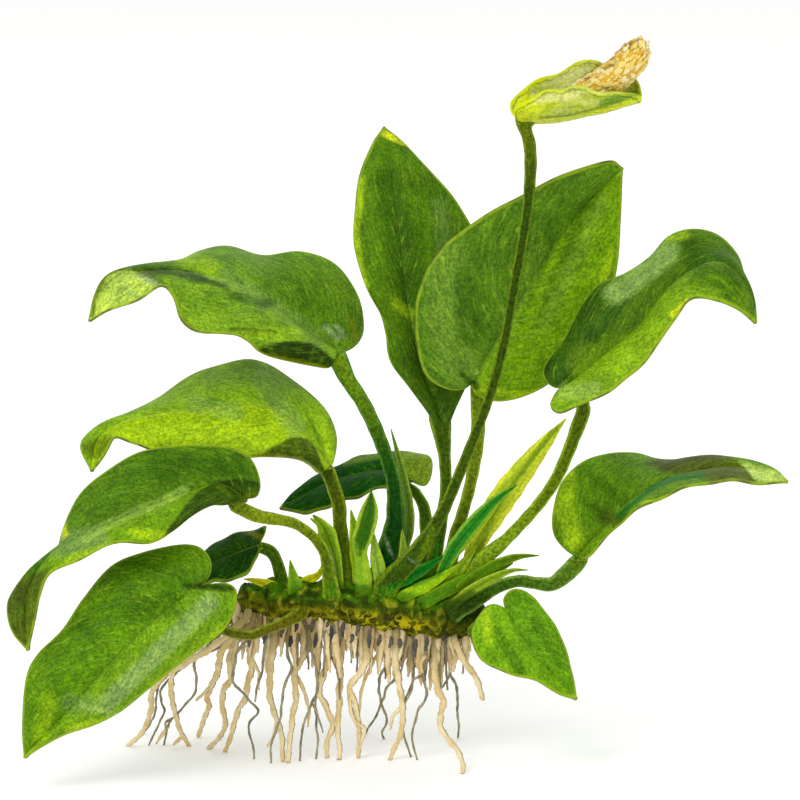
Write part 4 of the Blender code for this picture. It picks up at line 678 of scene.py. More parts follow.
def smooth_line(points, count):
    """Evenly spaced points on a smooth curve through the given ones."""
    points = np.asarray(points, float)
    ends = np.vstack([2 * points[0] - points[1], points, 2 * points[-1] - points[-2]])
    t = np.linspace(0, 1, 24, endpoint=False)[:, None]
    fine = []
    for before, start, end, after in zip(ends, ends[1:], ends[2:], ends[3:]):
        fine.append(0.5 * (2 * start + (end - before) * t
                           + (2 * before - 5 * start + 4 * end - after) * t ** 2
                           + (3 * start - before - 3 * end + after) * t ** 3))
    fine = np.vstack(fine + [points[-1:]])
    reach = np.concatenate([[0], np.cumsum(np.linalg.norm(np.diff(fine, axis=0), axis=1))])
    goals = np.linspace(0, reach[-1], count)
    return np.stack([np.interp(goals, reach, fine[:, axis]) for axis in range(3)], axis=1)


def line_length(line):
    return np.linalg.norm(np.diff(line, axis=0), axis=1).sum()


def at(values, share):
    """Values read between the listed ones, which are spread evenly from share 0 to share 1."""
    values = np.asarray(values, float)
    knots = np.linspace(0, 1, len(values))
    if values.ndim == 1:
        return np.interp(share, knots, values)
    return np.stack([np.interp(share, knots, part) for part in values.T], axis=-1)


def rising(value, low, high):
    """0 below low, 1 above high and smooth between them."""
    share = np.clip((value - low) / (high - low), 0, 1)
    return share * share * (3 - 2 * share)


def hump(value, middle, reach):
    """1 at the middle, and close to 0 at twice the reach from it."""
    return np.exp(-((value - middle) / reach) ** 2)


# ---- Meshes ----

def painted(places, strokes):
    """The paint that brush strokes lay on places: its colour and its cover."""
    across, up = drawn(places)
    colour, bare = np.zeros((*across.shape, 3)), np.ones(across.shape)
    for tint, strength, width, *points in strokes:
        away, inside = np.full(across.shape, np.inf), np.zeros(across.shape, bool)
        if not width:
            points = points + points[:1]
        for start, end in zip(np.asarray(points, float), np.asarray(points[1:], float)):
            run = end - start
            right, high = across - start[0], up - start[1]
            share = np.clip((right * run[0] + high * run[1]) / (run @ run), 0, 1)
            away = np.minimum(away, np.hypot(right - share * run[0], high - share * run[1]))
            if not width:
                beside = start[0] + high * run[0] / (run[1] or 1e-9)
                inside ^= ((start[1] > up) != (end[1] > up)) & (across < beside)
        if width:
            share = strength * (1 - rising(away, 0.35 * width, width))
        else:
            share = strength * (1 - rising(np.where(inside, -away, away), -0.2, 0.2))
        colour = colour * (1 - share[:, None]) + np.array(linear(tint)[:3]) * share[:, None]
        bare = bare * (1 - share)
    return colour / np.maximum(1 - bare, 1e-6)[:, None], 1 - bare


def add_piece(name, points, faces, material, slot, replaced=(), strokes=(), **marks):
    """A piece from points in millimetres, riding on the plant. Each mark is a number for every point."""
    points = np.asarray(points, float)
    mesh = bpy.data.meshes.new(name)
    mesh.from_pydata((points * MM).tolist(), [], faces)
    mesh.shade_smooth()
    paint, marks["cover"] = painted(points, strokes)
    layer = mesh.attributes.new("paint", "FLOAT_COLOR", "POINT")
    layer.data.foreach_set("color", np.hstack([paint, np.ones((len(points), 1))]).astype(np.float32).ravel())
    for mark, values in marks.items():
        layer = mesh.attributes.new(mark, "FLOAT", "POINT")
        layer.data.foreach_set("value", np.asarray(values, np.float32).ravel())
    mesh.materials.append(material)
    piece = bpy.data.objects.new(name, mesh)
    bpy.context.collection.objects.link(piece)
    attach(piece, "root")
    if replaced:
        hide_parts(*replaced)


def grid_faces(rows, columns, first=0, closed=False):
    """Quads between the points of a grid stored row by row. closed joins the last column to the first."""
    faces = []
    for row in range(rows - 1):
        for column in range(columns if closed else columns - 1):
            near = first + row * columns
            beside = (column + 1) % columns
            faces.append((near + column, near + beside, near + columns + beside, near + columns + column))
    return faces


def fan(centre, ring):
    """Triangles from one point to a closed ring of points."""
    return [(centre, start, end) for start, end in zip(ring, ring[1:] + ring[:1])]


def frames_along(line):
    """The unit vectors ahead, aside in the drawing plane and in depth, at each point of a line."""
    ahead = unit(np.gradient(line, axis=0))
    aside = unit(np.cross(ahead, [0, 1, 0]))
    return ahead, aside, unit(np.cross(aside, ahead))


def with_ends(rows):
    """What the points of a tube's rings carry, then the means over its end rings, whose middles close it."""
    return np.concatenate([rows.reshape(-1, *rows.shape[2:]), [rows[0].mean(axis=0), rows[-1].mean(axis=0)]])


def tube(line, sides, reach, first=0, lowest=-math.inf):
    """A closed tube round a line: its points and faces, and each point's share along it and cosine of the
    turn round it. reach(share, turn) gives the distances aside and in depth. No ring goes below lowest."""
    _, aside, deep = frames_along(line)
    count = len(line)
    turns = np.arange(sides) * 2 * math.pi / sides
    share, turn = np.meshgrid(np.linspace(0, 1, count), turns, indexing="ij")
    wide, thick = reach(share, turn)
    rings = (line[:, None] + aside[:, None] * (wide * np.cos(turn))[..., None]
             + deep[:, None] * (thick * np.sin(turn))[..., None])
    rings[..., 2] = np.maximum(rings[..., 2], lowest)
    middle = first + count * sides       # the point that closes the first ring
    faces = grid_faces(count, sides, first, closed=True)
    faces += fan(middle, list(range(first, first + sides))[::-1])
    faces += fan(middle + 1, list(range(middle - sides, middle)))
    return with_ends(rings), faces, with_ends(share), with_ends(np.cos(turn))


# ---- Materials ----

def linear(colour):
    """A colour given as sRGB from 0 to 255, as the shader wants it."""
    parts = [part / 255 for part in colour]
    return (*[part / 12.92 if part <= 0.04045 else ((part + 0.055) / 1.055) ** 2.4 for part in parts], 1)


class Value:
    """A number, place or colour that differs over a material. Numbers take the usual signs of arithmetic."""

    def __init__(self, finish, socket):
        self.finish = finish
        self.socket = socket

    def math(self, operation, other=0.0):
        """What a node of arithmetic makes of the number, and of another one if it takes two."""
        return self.finish.node("Math", 0, {0: self, 1: other}, operation=operation)

    def __add__(self, other):
        return self.math("ADD", other)

    def __sub__(self, other):
        return self.math("SUBTRACT", other)

    def __mul__(self, other):
        return self.math("MULTIPLY", other)

    def __pow__(self, other):
        return self.math("POWER", other)

    def __abs__(self):
        return self.math("ABSOLUTE")

    def off_line(self, lines):
        """How far the number is from the nearest of evenly spread lines: 0 on one, and 0.5 between two."""
        return abs((self * lines).math("FRACT") - 0.5)

    def within(self, low, high, to_low=0.0, to_high=1.0):
        """Goes smoothly from to_low to to_high as the number goes from low to high."""
        inputs = {"Value": self, "From Min": low, "From Max": high, "To Min": to_low, "To Max": to_high}
        return self.finish.node("MapRange", "Result", inputs, interpolation_type="SMOOTHSTEP")


class Finish:
    """A node material, put together one layer of colour after another."""

    def __init__(self, name, roughness=0.5, specular=0.05):
        self.material = bpy.data.materials.new(name)
        self.material.use_nodes = True
        self.tree = self.material.node_tree
        self.shader = self.tree.nodes["Principled BSDF"]
        self.shader.inputs["Roughness"].default_value = roughness
        self.shader.inputs["Specular IOR Level"].default_value = specular
        self.place = self.node("TexCoord", "Object", {})
        self.base = None

    def node(self, kind, output, inputs, **settings):
        """Adds a node. inputs maps the names or numbers of its sockets to numbers, colours or values."""
        node = self.tree.nodes.new("ShaderNode" + kind)
        for setting, value in settings.items():
            setattr(node, setting, value)
        for key, value in inputs.items():
            if isinstance(value, Value):
                self.tree.links.new(value.socket, node.inputs[key])
            else:
                node.inputs[key].default_value = value
        return Value(self, node.outputs[output])

    def marks(self, *names):
        """Numbers that the mesh carries for each point."""
        return [self.node("Attribute", "Fac", {}, attribute_name=name) for name in names]

    def noise(self, scale, detail=3.0, rough=0.6, place=None):
        """Noise at the point's own place in metres, or at a place made of three numbers."""
        if place:
            place = self.node("CombineXYZ", 0, dict(enumerate(place)))
        inputs = {"Vector": place or self.place, "Scale": scale, "Detail": detail, "Roughness": rough}
        return self.node("TexNoise", "Fac", inputs)

    def mix(self, share, first, second):
        """A colour between two, each an sRGB triple or a value."""
        colours = [linear(colour) if isinstance(colour, tuple) else colour for colour in (first, second)]
        return self.node("Mix", 2, {0: share, 6: colours[0], 7: colours[1]}, data_type="RGBA")

    def over(self, share, colour):
        """Lays a colour over those before it."""
        self.base = self.mix(share, self.base, colour)

    def lay(self, number, low, high, most, colour):
        """Lays a colour over those before it: none of it where number is low, and most of it where high."""
        self.over(number.within(low, high, 0.0, most), colour)

    def paint(self, strokes):
        """Lays the mesh's own paint over the colours before it, broken up by the noise of a brush."""
        cover, = self.marks("cover")
        paint = self.node("Attribute", "Color", {}, attribute_name="paint")
        self.over(cover * strokes.within(0.3, 0.55, 0.7, 1.0), paint)

    def mottle(self, flecks, amount):
        """Brighter and yellower where the flecks are high, and darker where they are low."""
        shift = flecks.within(0.28, 0.72, -amount, amount)
        change = self.node("CombineXYZ", 0, {0: shift + 1.0, 1: shift * 0.85 + 1.0, 2: shift * 0.6 + 1.0})
        self.base = self.node("VectorMath", 0, {0: self.base, 1: change}, operation="MULTIPLY")

    def finished(self, height=None, bump=0.0, roughness=None, value=0.92, saturation=1.02):
        """The material: its colour deepened for the bright studio light, and its bumps so many mm high."""
        inputs = {"Saturation": saturation, "Value": value, "Color": self.base}
        ends = {"Base Color": self.node("HueSaturation", 0, inputs)}
        if height:
            ends["Normal"] = self.node("Bump", 0, {"Height": height, "Distance": bump * MM, "Strength": 1.0})
        if roughness:
            ends["Roughness"] = roughness
        for name, end in ends.items():
            self.tree.links.new(end.socket, self.shader.inputs[name])
        return self.material


# ---- Leaf blades ----

def leaf_finish(name, left, right, under, seed):
    """A leathery blade: two halves whose greens differ as painted light and shade, paint, strokes along the
    side veins, pale midrib and bright margin.
    """
    finish = Finish(name, specular=0.06)
    along, across, edge, below, from_rib = finish.marks("along", "across", "edge", "under", "from_rib")
    outwards = abs(across)
    vein = along - outwards ** VEIN_BOW * VEIN_SLANT
    half = across.math("SIGN") * 3.0
    strokes = finish.noise(1.0, 4.0, 0.62, (vein * 46.0, outwards * 4.0, half + seed))
    hatch = finish.noise(1.0, 3.0, 0.6, (vein * 150.0, outwards * 14.0, half + (seed + 0.5)))
    blots = finish.noise(240.0, 3.0, 0.55)

    # Painted light and shade: one half of the blade lighter than the other.
    finish.base = finish.mix(across.within(-0.07, 0.07), left, right)
    finish.over(below, finish.mix(strokes.within(0.3, 0.7, 0.35, 0.0), under, (70, 100, 30)))
    finish.paint(finish.noise(420.0))
    finish.lay(strokes, 0.52, 0.78, 0.3, (186, 206, 62))
    finish.lay(strokes, 0.48, 0.26, 0.33, (30, 62, 4))
    finish.mottle(blots, 0.22)
    finish.mottle(hatch, 0.26)
    finish.mottle(finish.noise(1700.0, 2.0), 0.38)

    veins = vein.off_line(11.0).within(0.06, 0.0) * edge.within(0.6, 2.2, 0.0, 0.2) * blots.within(0.4, 0.6)
    finish.over(veins, (144, 176, 92))
    finish.lay(from_rib, 0.4, 0.1, 0.5, (140, 170, 74))
    finish.lay(edge + blots * 0.6, 0.9, 0.4, 0.6, (158, 184, 44))
    finish.over(edge.within(0.2, 0.06) * blots.within(0.42, 0.6, 0.1, 0.8), (84, 92, 44))
    height = strokes * 0.7 + blots * 0.4 - veins * 1.2
    return finish.finished(height, 0.12, strokes.within(0.2, 0.8, 0.44, 0.6))


def blade_middle(leaf):
    """The blade's middle surface as a grid of points, with the shares along and across it, half of its width
    at each row and the way that its upper face looks."""
    rib = leaf["rib"]
    sinus, tip = rib[0], leaf.get("tip", rib[-1])
    lines = (rib, [sinus, *leaf["left"], tip], [sinus, *leaf["right"], tip])
    rib, left, right = (smooth_line(seen(line), 400) for line in lines)
    share = (1 - np.cos(np.linspace(END_TURN, math.pi - END_TURN, BLADE_ROWS))) / 2
    rib_share = share ** LOBE_EASE
    middle = at(rib, rib_share)
    ahead = at(rib, np.minimum(rib_share + 0.05, 1)) - at(rib, np.maximum(rib_share - 0.05, 0))
    face_up = unit(np.cross(ahead, at(left, share) - at(right, share)))
    outwards = (1 - np.cos(np.linspace(0, math.pi, HALF_COLUMNS + 1))) / 2
    across = np.concatenate([-outwards[:0:-1], outwards])
    away = np.abs(across)[None, :, None]
    margins = np.where(across[None, :, None] < 0, at(left, share)[:, None], at(right, share)[:, None])
    taper = np.sin(math.pi * share) ** 0.5
    arch = 4 * away * (1 - away)
    grid = middle[:, None] * (1 - away) + margins * away
    grid = grid + face_up[:, None] * leaf["crown"] * arch * taper[:, None, None]
    for side, (fold_across, fold_up, fold_depth) in leaf.get("fold", {}).items():
        fading = np.sin(math.pi * np.minimum(share / leaf.get("fold_reach", FOLD_REACH), 1))[:, None, None]
        on_side = (across < 0) if side == "left" else (across > 0)
        grid = grid + np.array([fold_across, fold_depth, fold_up]) * arch * fading * on_side[None, :, None]
    along, across = np.meshgrid(share, across, indexing="ij")
    half_width = np.linalg.norm(margins - middle[:, None], axis=-1)
    return grid, along, across, half_width, face_up


def add_blade(name, leaf, material, thick):
    """A leaf blade with a grooved midrib, raised between its side veins, and a rounded, rippled margin.
    Returns three points under its midrib that a stalk grows out of."""
    grid, along, across, half_width, face_up = blade_middle(leaf)
    away = np.abs(across)
    vein = along - VEIN_SLANT * away ** VEIN_BOW
    taper = np.sin(math.pi * along)
    rippled = RIPPLE * away ** 3 * taper * np.sin(WAVES * 2 * math.pi * along + 2.4 * across)
    grid = grid + face_up[:, None] * rippled[..., None]
    normal = np.cross(np.gradient(grid, axis=0), np.gradient(grid, axis=1))
    normal = unit(normal * np.sign((normal * face_up[:, None]).sum()))
    from_rib = away * half_width
    quilt = QUILT * np.cos(2 * math.pi * SIDE_VEINS * vein) * taper * np.sin(math.pi * away) ** 0.5
    fading = (1 - along) ** 0.6
    groove = GROOVE * hump(from_rib, 0, GROOVE_REACH) * fading
    keel = KEEL * hump(from_rib, 0, KEEL_REACH) * fading
    half = thick * (MARGIN_HALF + (RIB_HALF - MARGIN_HALF) * (1 - away ** 2))
    upper = grid + normal * (half + quilt - groove)[..., None]
    lower = grid - normal * (half - quilt * 0.6 + keel)[..., None]

    rows, columns = along.shape
    count = rows * columns
    index = np.arange(count).reshape(rows, columns)
    loop = np.concatenate([index[0, :-1], index[:-1, -1], index[-1, :0:-1], index[:0:-1, 0]])
    rim_of = dict(zip(loop.tolist(), range(2 * count, 2 * count + len(loop))))
    inner = grid.reshape(-1, 3)[loop]
    inwards = grid[np.clip(np.arange(rows), 1, rows - 2)][:, np.clip(np.arange(columns), 1, columns - 2)]
    outward = unit(inner - inwards.reshape(-1, 3)[loop])
    points = np.vstack([upper.reshape(-1, 3), lower.reshape(-1, 3), inner + outward * MARGIN_HALF * thick])
    faces = [face[::-1] for face in grid_faces(rows, columns)] + grid_faces(rows, columns, count)
    for start, end in zip(loop.tolist(), np.roll(loop, -1).tolist()):
        faces.append((start, end, rim_of[end], rim_of[start]))
        faces.append((rim_of[start], rim_of[end], count + end, count + start))

    def for_all(mark):
        """A mark of the grid's points for the upper face, the lower face and the rim."""
        return np.concatenate([mark.ravel(), mark.ravel(), mark.ravel()[loop]])

    ends = np.minimum(along, 1 - along) * line_length(grid[:, columns // 2])
    edge = for_all(np.minimum((1 - away) * half_width, 2.2 * ends))
    edge[2 * count:] = 0
    under = np.repeat([0, 1, 0.4], [count, count, len(loop)])
    add_piece(f"{name}_skin", points, faces, material, SLOT_OF[name], [name], PAINT.get(name, ()), edge=edge,
              along=for_all(along), across=for_all(across), from_rib=for_all(from_rib), under=under)
    return lower[[rows // 4, rows // 6, rows // 14], columns // 2]


def make_blades():
    """All leaf blades. Returns the points that each one's stalk grows out of."""
    starts = {}
    for seed, (name, leaf) in enumerate(LEAVES.items()):
        node = f"{name}_blade"
        material = leaf_finish(f"{node}_look", *LEAF_GREENS[name], seed * 7)
        starts[name] = add_blade(node, leaf, material, BLADE_THICKNESS)
    return starts


# ---- Stalks and young leaves ----

def stalk_finish(name, colours, seed):
    """A fleshy stalk: colours from top to foot, paint, long fibres, and paler edges as painted highlights."""
    edges, *stops = colours
    finish = Finish(name)
    along, turn = finish.marks("along", "sideways")
    fibres = finish.noise(1.6, 4.0, 0.6, (turn * 5.0, along * 5.0, float(seed)))
    finish.base = finish.node("ValToRGB", "Color", {0: along})
    bands = finish.base.socket.node.color_ramp.elements
    bands[0].color, bands[1].color = linear(stops[0]), linear(stops[-1])
    for number, colour in enumerate(stops[1:-1], start=1):
        bands.new(number / (len(stops) - 1)).color = linear(colour)
    finish.paint(fibres)
    # Painted highlights down both edges of the stalk.
    finish.lay(abs(turn), 0.5, 0.92, 0.85, edges)
    finish.lay(fibres, 0.52, 0.72, 0.225, edges)
    finish.lay(fibres, 0.48, 0.28, 0.36, (26, 44, 2))
    finish.mottle(finish.noise(1500.0, 2.0), 0.5)
    return finish.finished(fibres, 0.1, fibres.within(0.2, 0.8, 0.42, 0.6))


def young_finish(name, colour, edge, centre, seed):
    """A rolled young leaf: a line down its middle, long fibres, paint, and its edges in another colour."""
    finish = Finish(name)
    along, turn = finish.marks("along", "sideways")
    fibres = finish.noise(1.5, 4.0, 0.6, (turn * 6.0, along * 3.0, float(seed)))
    finish.base = finish.mix(fibres.within(0.3, 0.7, 0.4, 0.0), colour, (26, 56, 6))
    finish.lay(abs(turn), 0.5, 0.85, 0.9, edge)
    finish.lay(abs(turn), 0.28, 0.05, 0.85, centre)
    finish.lay(along, 0.7, 0.95, 0.25, (120, 160, 30))
    finish.paint(fibres)
    finish.mottle(finish.noise(1500.0, 2.0), 0.26)
    return finish.finished(fibres, 0.1)


def into_rhizome(places):
    """Lengthens a line from its last point towards the middle of the rhizome."""
    axis = smooth_line(seen(RHIZOME_LINE), 200)
    middle = axis[np.linalg.norm(axis - places[-1], axis=1).argmin()]
    return np.vstack([places, places[-1] + unit(middle - places[-1]) * INTO_RHIZOME])


def add_stem(name, points, widths, material, slot, flatness, groove, replaced=(), top=(), flare=0.0,
             flare_reach=1.6, foot=0.0):
    """A stalk or young leaf whose foot bends into the rhizome, and which starts with the points of top. It
    widens by flare where it leaves them and by foot at its foot, and a groove runs down its front."""
    places = into_rhizome(np.vstack([*top, seen(points)]))
    leaving = line_length(places[:len(top) + 1])
    line = smooth_line(places, max(STEM_RINGS, round(line_length(places) / STEM_STEP)))
    length = line_length(line)

    def reach(share, turn):
        passed = share * length
        half = at(widths, share) * (1 + UNEVEN * np.sin(1.5 * passed))
        half = half + flare * hump(passed, leaving, flare_reach) + foot * hump(length - passed, 0, FOOT_REACH)
        hollow = 1 - groove * hump(turn / math.pi, 1.5, 0.16) * rising(share, 0.0, 0.15)
        return half, half * flatness * hollow

    points, faces, along, turn = tube(line, STEM_SIDES, reach)
    add_piece(f"{name}_skin", points, faces, material, slot, replaced, PAINT.get(name, []) + CROWN_PAINT,
              along=along, sideways=turn)


def make_stalks(blades):
    """The stalks of all leaves, each from the points that its blade gives, and the flower's stalk."""
    for seed, (name, leaf) in enumerate(LEAVES.items()):
        node = f"{name}_stalk"
        widths = (0.25, *leaf["widths"], leaf["widths"][-1] * 1.15)
        material = stalk_finish(f"{node}_look", STALKS[name], seed)
        flare = FLARES.get(name, OTHER_FLARE)
        add_stem(node, leaf["stalk"], widths, material, SLOT_OF[node], flatness=0.95, groove=0.12,
                 replaced=[node], top=blades[name], flare=flare, flare_reach=5, foot=0.5)
    material = stalk_finish("flower_stalk_look", STALKS["flower"], 40)
    add_stem("flower_stalk", FLOWER_STALK, FLOWER_STALK_WIDTHS, material, SLOT_OF["flower_stalk"],
             flatness=0.85, groove=0.08, replaced=["flower_stalk"], flare=1.0, foot=0.5)


def make_young_leaves():
    """The rolled young leaves and their sheaths, then the short sheaths of the crown."""
    for seed, (name, leaf) in enumerate(YOUNG_LEAVES.items()):
        material = young_finish(f"{name}_look", *leaf["colours"], seed)
        add_stem(name, leaf["line"], leaf["widths"], material, SLOT_OF[name], leaf["flatness"], groove=0.45,
                 replaced=[name])
    for number, (half, colour, points) in enumerate(CROWN_SHEATHS, start=1):
        name = f"crown_sheath_{number:02d}"
        light = tuple(0.7 * part + 0.3 * pale for part, pale in zip(colour, YELLOW))
        dark = tuple(0.75 * part for part in colour)
        material = young_finish(f"{name}_look", colour, light, dark, 30 + number)
        widths = [share * half for share in SHEATH_SHAPE]
        add_stem(name, points, widths, material, "sheath", flatness=0.4, groove=0.4)


# ---- Flower ----

def spathe_finish():
    """A waxy hood: cream in the middle of each half, yellow towards its base and margins, fine long veins."""
    finish = Finish("spathe_look", specular=0.08)
    along, across, edge = finish.marks("along", "across", "edge")
    strokes = finish.noise(1.6, 4.0, 0.6, (across * 9.0, along * 2.2, 3.0))
    finish.base = finish.mix(along.within(0.1, 0.5), (190, 202, 30), (182, 194, 84))
    finish.paint(strokes)
    finish.lay(strokes, 0.5, 0.72, 0.45, (216, 218, 150))
    finish.lay(strokes, 0.46, 0.28, 0.7, (146, 164, 20))
    finish.mottle(finish.noise(1500.0, 2.0), 0.25)
    finish.lay(abs(across).off_line(7.0), 0.1, 0.0, 0.25, (140, 150, 40))
    ragged = edge + finish.noise(500.0, 3.0, 0.55).within(0.3, 0.7, -0.25, 0.25)
    finish.lay(abs(ragged - 0.5), 0.18, 0.04, 0.6, (108, 120, 20))
    finish.over(ragged.within(0.42, 0.24) * along.within(0.3, 0.6, 0.85, 0.35), (206, 218, 34))
    return finish.finished(strokes, 0.12)


def spadix_finish():
    """Florets from cream to orange, painted shade in the gaps between them, and brown-specked on top."""
    finish = Finish("spadix_look", roughness=0.6, specular=0.08)
    tint, raised, above = finish.marks("tint", "raised", "above")
    grain = finish.noise(1500.0)
    finish.base = finish.mix(tint.within(0.1, 0.5), (226, 180, 58), (232, 204, 100))
    finish.lay(tint, 0.55, 0.9, 1.0, (240, 236, 204))
    finish.over(above.within(-0.5, 0.1) * above.within(0.9, 0.4, 0.0, 0.75), (238, 210, 90))
    finish.lay(raised, 0.55, 1.0, 0.5, (240, 228, 164))
    # Painted shade: darker orange low on the florets and in the gaps between them.
    finish.lay(raised, 0.35, 0.0, 0.6, (206, 154, 48))
    specks = finish.noise(900.0, 2.0, 0.5).within(0.5, 0.6, 0.1, 0.8)
    finish.over(above.within(0.4, 0.95) * specks, (132, 114, 66))
    finish.lay(grain, 0.45, 0.3, 0.3, (170, 130, 70))
    return finish.finished(grain, 0.06)


def make_spadix():
    """A finger closely set with florets that wind round it."""
    line = smooth_line(seen(SPADIX_LINE), 60)
    ahead, aside, deep = frames_along(line)

    def radius(share):
        ends = np.minimum(0.45 + 1.6 * share, 5.0 * (1.03 - share))
        return SPADIX_RADIUS * np.minimum(1, ends) ** 0.6 - 0.3

    core, faces, _, core_above = tube(line, 32, lambda share, turn: (radius(share), radius(share)))
    points, tint, raised, above = [core], [np.full(len(core), 0.3)], [np.zeros(len(core))], [core_above]
    points_each = FLORET_SIDES * len(FLORET_RINGS) + 1
    first = len(core)
    for number in range(FLORETS):
        place = (number + 0.5 + 4 * (noise.random() - 0.5)) / (FLORETS + 4)
        spin = number * GOLDEN_ANGLE + 0.5 * (noise.random() - 0.5)
        centre, along = at(line, place), unit(at(ahead, place))
        out = unit(at(aside, place) * math.cos(spin) + at(deep, place) * math.sin(spin))
        out = unit(out + 0.5 * (noise.random() - 0.3) * along)
        side = np.cross(along, out)
        foot = centre + out * radius(place)
        size = FLORET_SIZE * (0.7 + 0.7 * noise.random()) * (0.7 + 0.3 * rising(0.98 - place, 0, 0.15))
        size = size * (0.4 + 0.6 * rising(place, 0.02, 0.2))
        tall, long = 0.6 + 1.0 * noise.random(), 1.1 + 1.2 * noise.random()
        turns = np.arange(FLORET_SIDES)[:, None] * 2 * math.pi / FLORET_SIDES + number
        around = np.cos(turns) * along * long + np.sin(turns) * side
        rings = [foot + out * height * size * tall + around * spread * size
                 for height, spread, _ in FLORET_RINGS]
        points.append(np.vstack([*rings, rings[-1].mean(axis=0)]))
        last = first + points_each - 1
        faces += grid_faces(len(FLORET_RINGS), FLORET_SIDES, first, closed=True)
        faces += fan(last, list(range(last - FLORET_SIDES, last)))
        tint.append(np.full(points_each, noise.random()))
        raised.append([*np.repeat([mark for _, _, mark in FLORET_RINGS], FLORET_SIDES), FLORET_TOP])
        above.append(np.full(points_each, math.cos(spin)))
        first += points_each
    add_piece("spadix_skin", np.vstack(points), faces, spadix_finish(), SLOT_OF["spadix"], ["spadix"],
              tint=np.concatenate(tint), raised=np.concatenate(raised), above=np.concatenate(above))


def make_flower():
    """The spathe and the spadix in front of it."""
    add_blade("spathe", SPATHE, spathe_finish(), SPATHE_THICKNESS)
    noise.seed_set(7)
    make_spadix()


# ---- Rhizome ----

def rhizome_finish():
    """Old green bark: moss green above, olive and brown below, yellow nodules, and dark at its right end."""
    finish = Finish("rhizome_look", roughness=0.75, specular=0.04)
    height, along, bumps, scar = finish.marks("upwards", "along", "bumps", "scar")
    lichen = finish.noise(420.0, 5.0, 0.65)
    grain = finish.noise(1400.0, 4.0, 0.65)
    net = abs(finish.noise(330.0, 2.0, 0.5) - 0.5)
    finish.base = finish.mix(height.within(-0.35, 0.25), (90, 90, 16), (68, 108, 14))
    finish.lay(height, 0.15, 0.8, 0.6, (76, 134, 18))
    finish.paint(lichen)
    finish.lay(lichen, 0.54, 0.68, 0.33, (160, 172, 30))
    finish.lay(lichen, 0.47, 0.34, 0.85, (34, 50, 6))
    finish.lay(bumps, 0.35, 0.9, 0.8, (150, 150, 36))
    finish.lay(bumps, -0.15, -0.7, 0.75, (40, 44, 8))
    finish.lay(scar, 0.5, 1.0, 0.25, (112, 110, 30))
    low = height.within(0.05, -0.45) * along.within(0.3, 0.6, 0.3, 0.85)
    finish.over(low * net.within(0.05, 0.015), (196, 184, 34))
    finish.lay(along, 0.74, 0.88, 0.85, (34, 52, 6))
    finish.lay(grain, 0.45, 0.32, 0.6, (30, 40, 6))
    return finish.finished(lichen + grain, 0.35, lichen.within(0.3, 0.7, 0.5, 0.75))


def make_rhizome():
    """The creeping stem: rings left by fallen leaves, nodules low down, and a wrinkled bark."""
    line = smooth_line(seen(RHIZOME_LINE), 300)
    line = np.vstack([line[0] * 2 - line[6], line, line[-1] * 2 - line[-6]])
    marks = {}

    def reach(share, turn):
        ends = np.clip(np.minimum(share, 1 - share) / ROUNDED_ENDS, 0, 1)
        rounded = np.sqrt(1 - (1 - ends) ** 2)
        phase = np.sin(2 * math.pi * SCAR_COUNT * share + 0.8 * np.sin(turn))
        places = np.stack([share, np.cos(turn), np.sin(turn)], axis=-1).reshape(-1, 3)
        wrinkles = [noise.fractal(Vector(place), 0.6, 2.1, 5) for place in places * WRINKLES]
        knobs = [noise.noise(Vector(place)) for place in places * KNOBS]
        wrinkles, knobs = np.reshape(wrinkles, share.shape), np.reshape(knobs, share.shape)
        marks["scar"] = hump(phase, 0.8, 0.16)
        marks["bumps"] = knobs * 1.8 + wrinkles * 0.4
        lower = rising(-np.cos(turn), -0.5, 0.5)
        radius = at(RHIZOME_WIDTHS, share) + SCAR_HEIGHT * phase + 0.16 * marks["scar"] + 0.3 * wrinkles
        radius = (radius + (0.25 + 0.65 * lower) * np.maximum(knobs, -0.1)) * rounded
        return radius, radius

    points, faces, along, turn = tube(line, 72, reach)
    bumps, scar = with_ends(marks["bumps"]), with_ends(marks["scar"])
    add_piece("rhizome_skin", points, faces, rhizome_finish(), SLOT_OF["rhizome"], ["rhizome"],
              PAINT["rhizome"], along=along, upwards=turn, bumps=bumps, scar=scar)


# ---- Roots ----

def root_finish(name, skin, pale, shadow, line):
    """A wiry root: long fibres and blots, and a darker line of painted shade down one side."""
    finish = Finish(name, roughness=0.8, specular=0.04)
    along, turn = finish.marks("along", "sideways")
    fibres = finish.noise(900.0, 4.0, 0.65)
    blots = finish.noise(220.0, 3.0, 0.55)
    finish.base = finish.mix(blots.within(0.35, 0.65), skin, pale)
    finish.lay(fibres, 0.48, 0.3, 0.6, shadow)
    # Painted shade: a darker line down one side of the root.
    finish.over(turn.within(0.6, 0.9) * blots.within(0.4, 0.56, 0.15, 0.95), line)
    finish.lay(along, 0.3, 0.06, 0.8, (136, 120, 62))
    return finish.finished(fibres, 0.12)


def root_path(points, first_depth, last_depth):
    """A root's places from inside the rhizome to its tip, with its depth changing as it goes down."""
    spread = np.linspace(0, 1, len(points)) ** ROOT_SPREAD
    depths = first_depth + (last_depth - first_depth) * spread
    places = seen([(*point, depth) for point, depth in zip(points, depths)])
    return into_rhizome(places[::-1])[::-1]


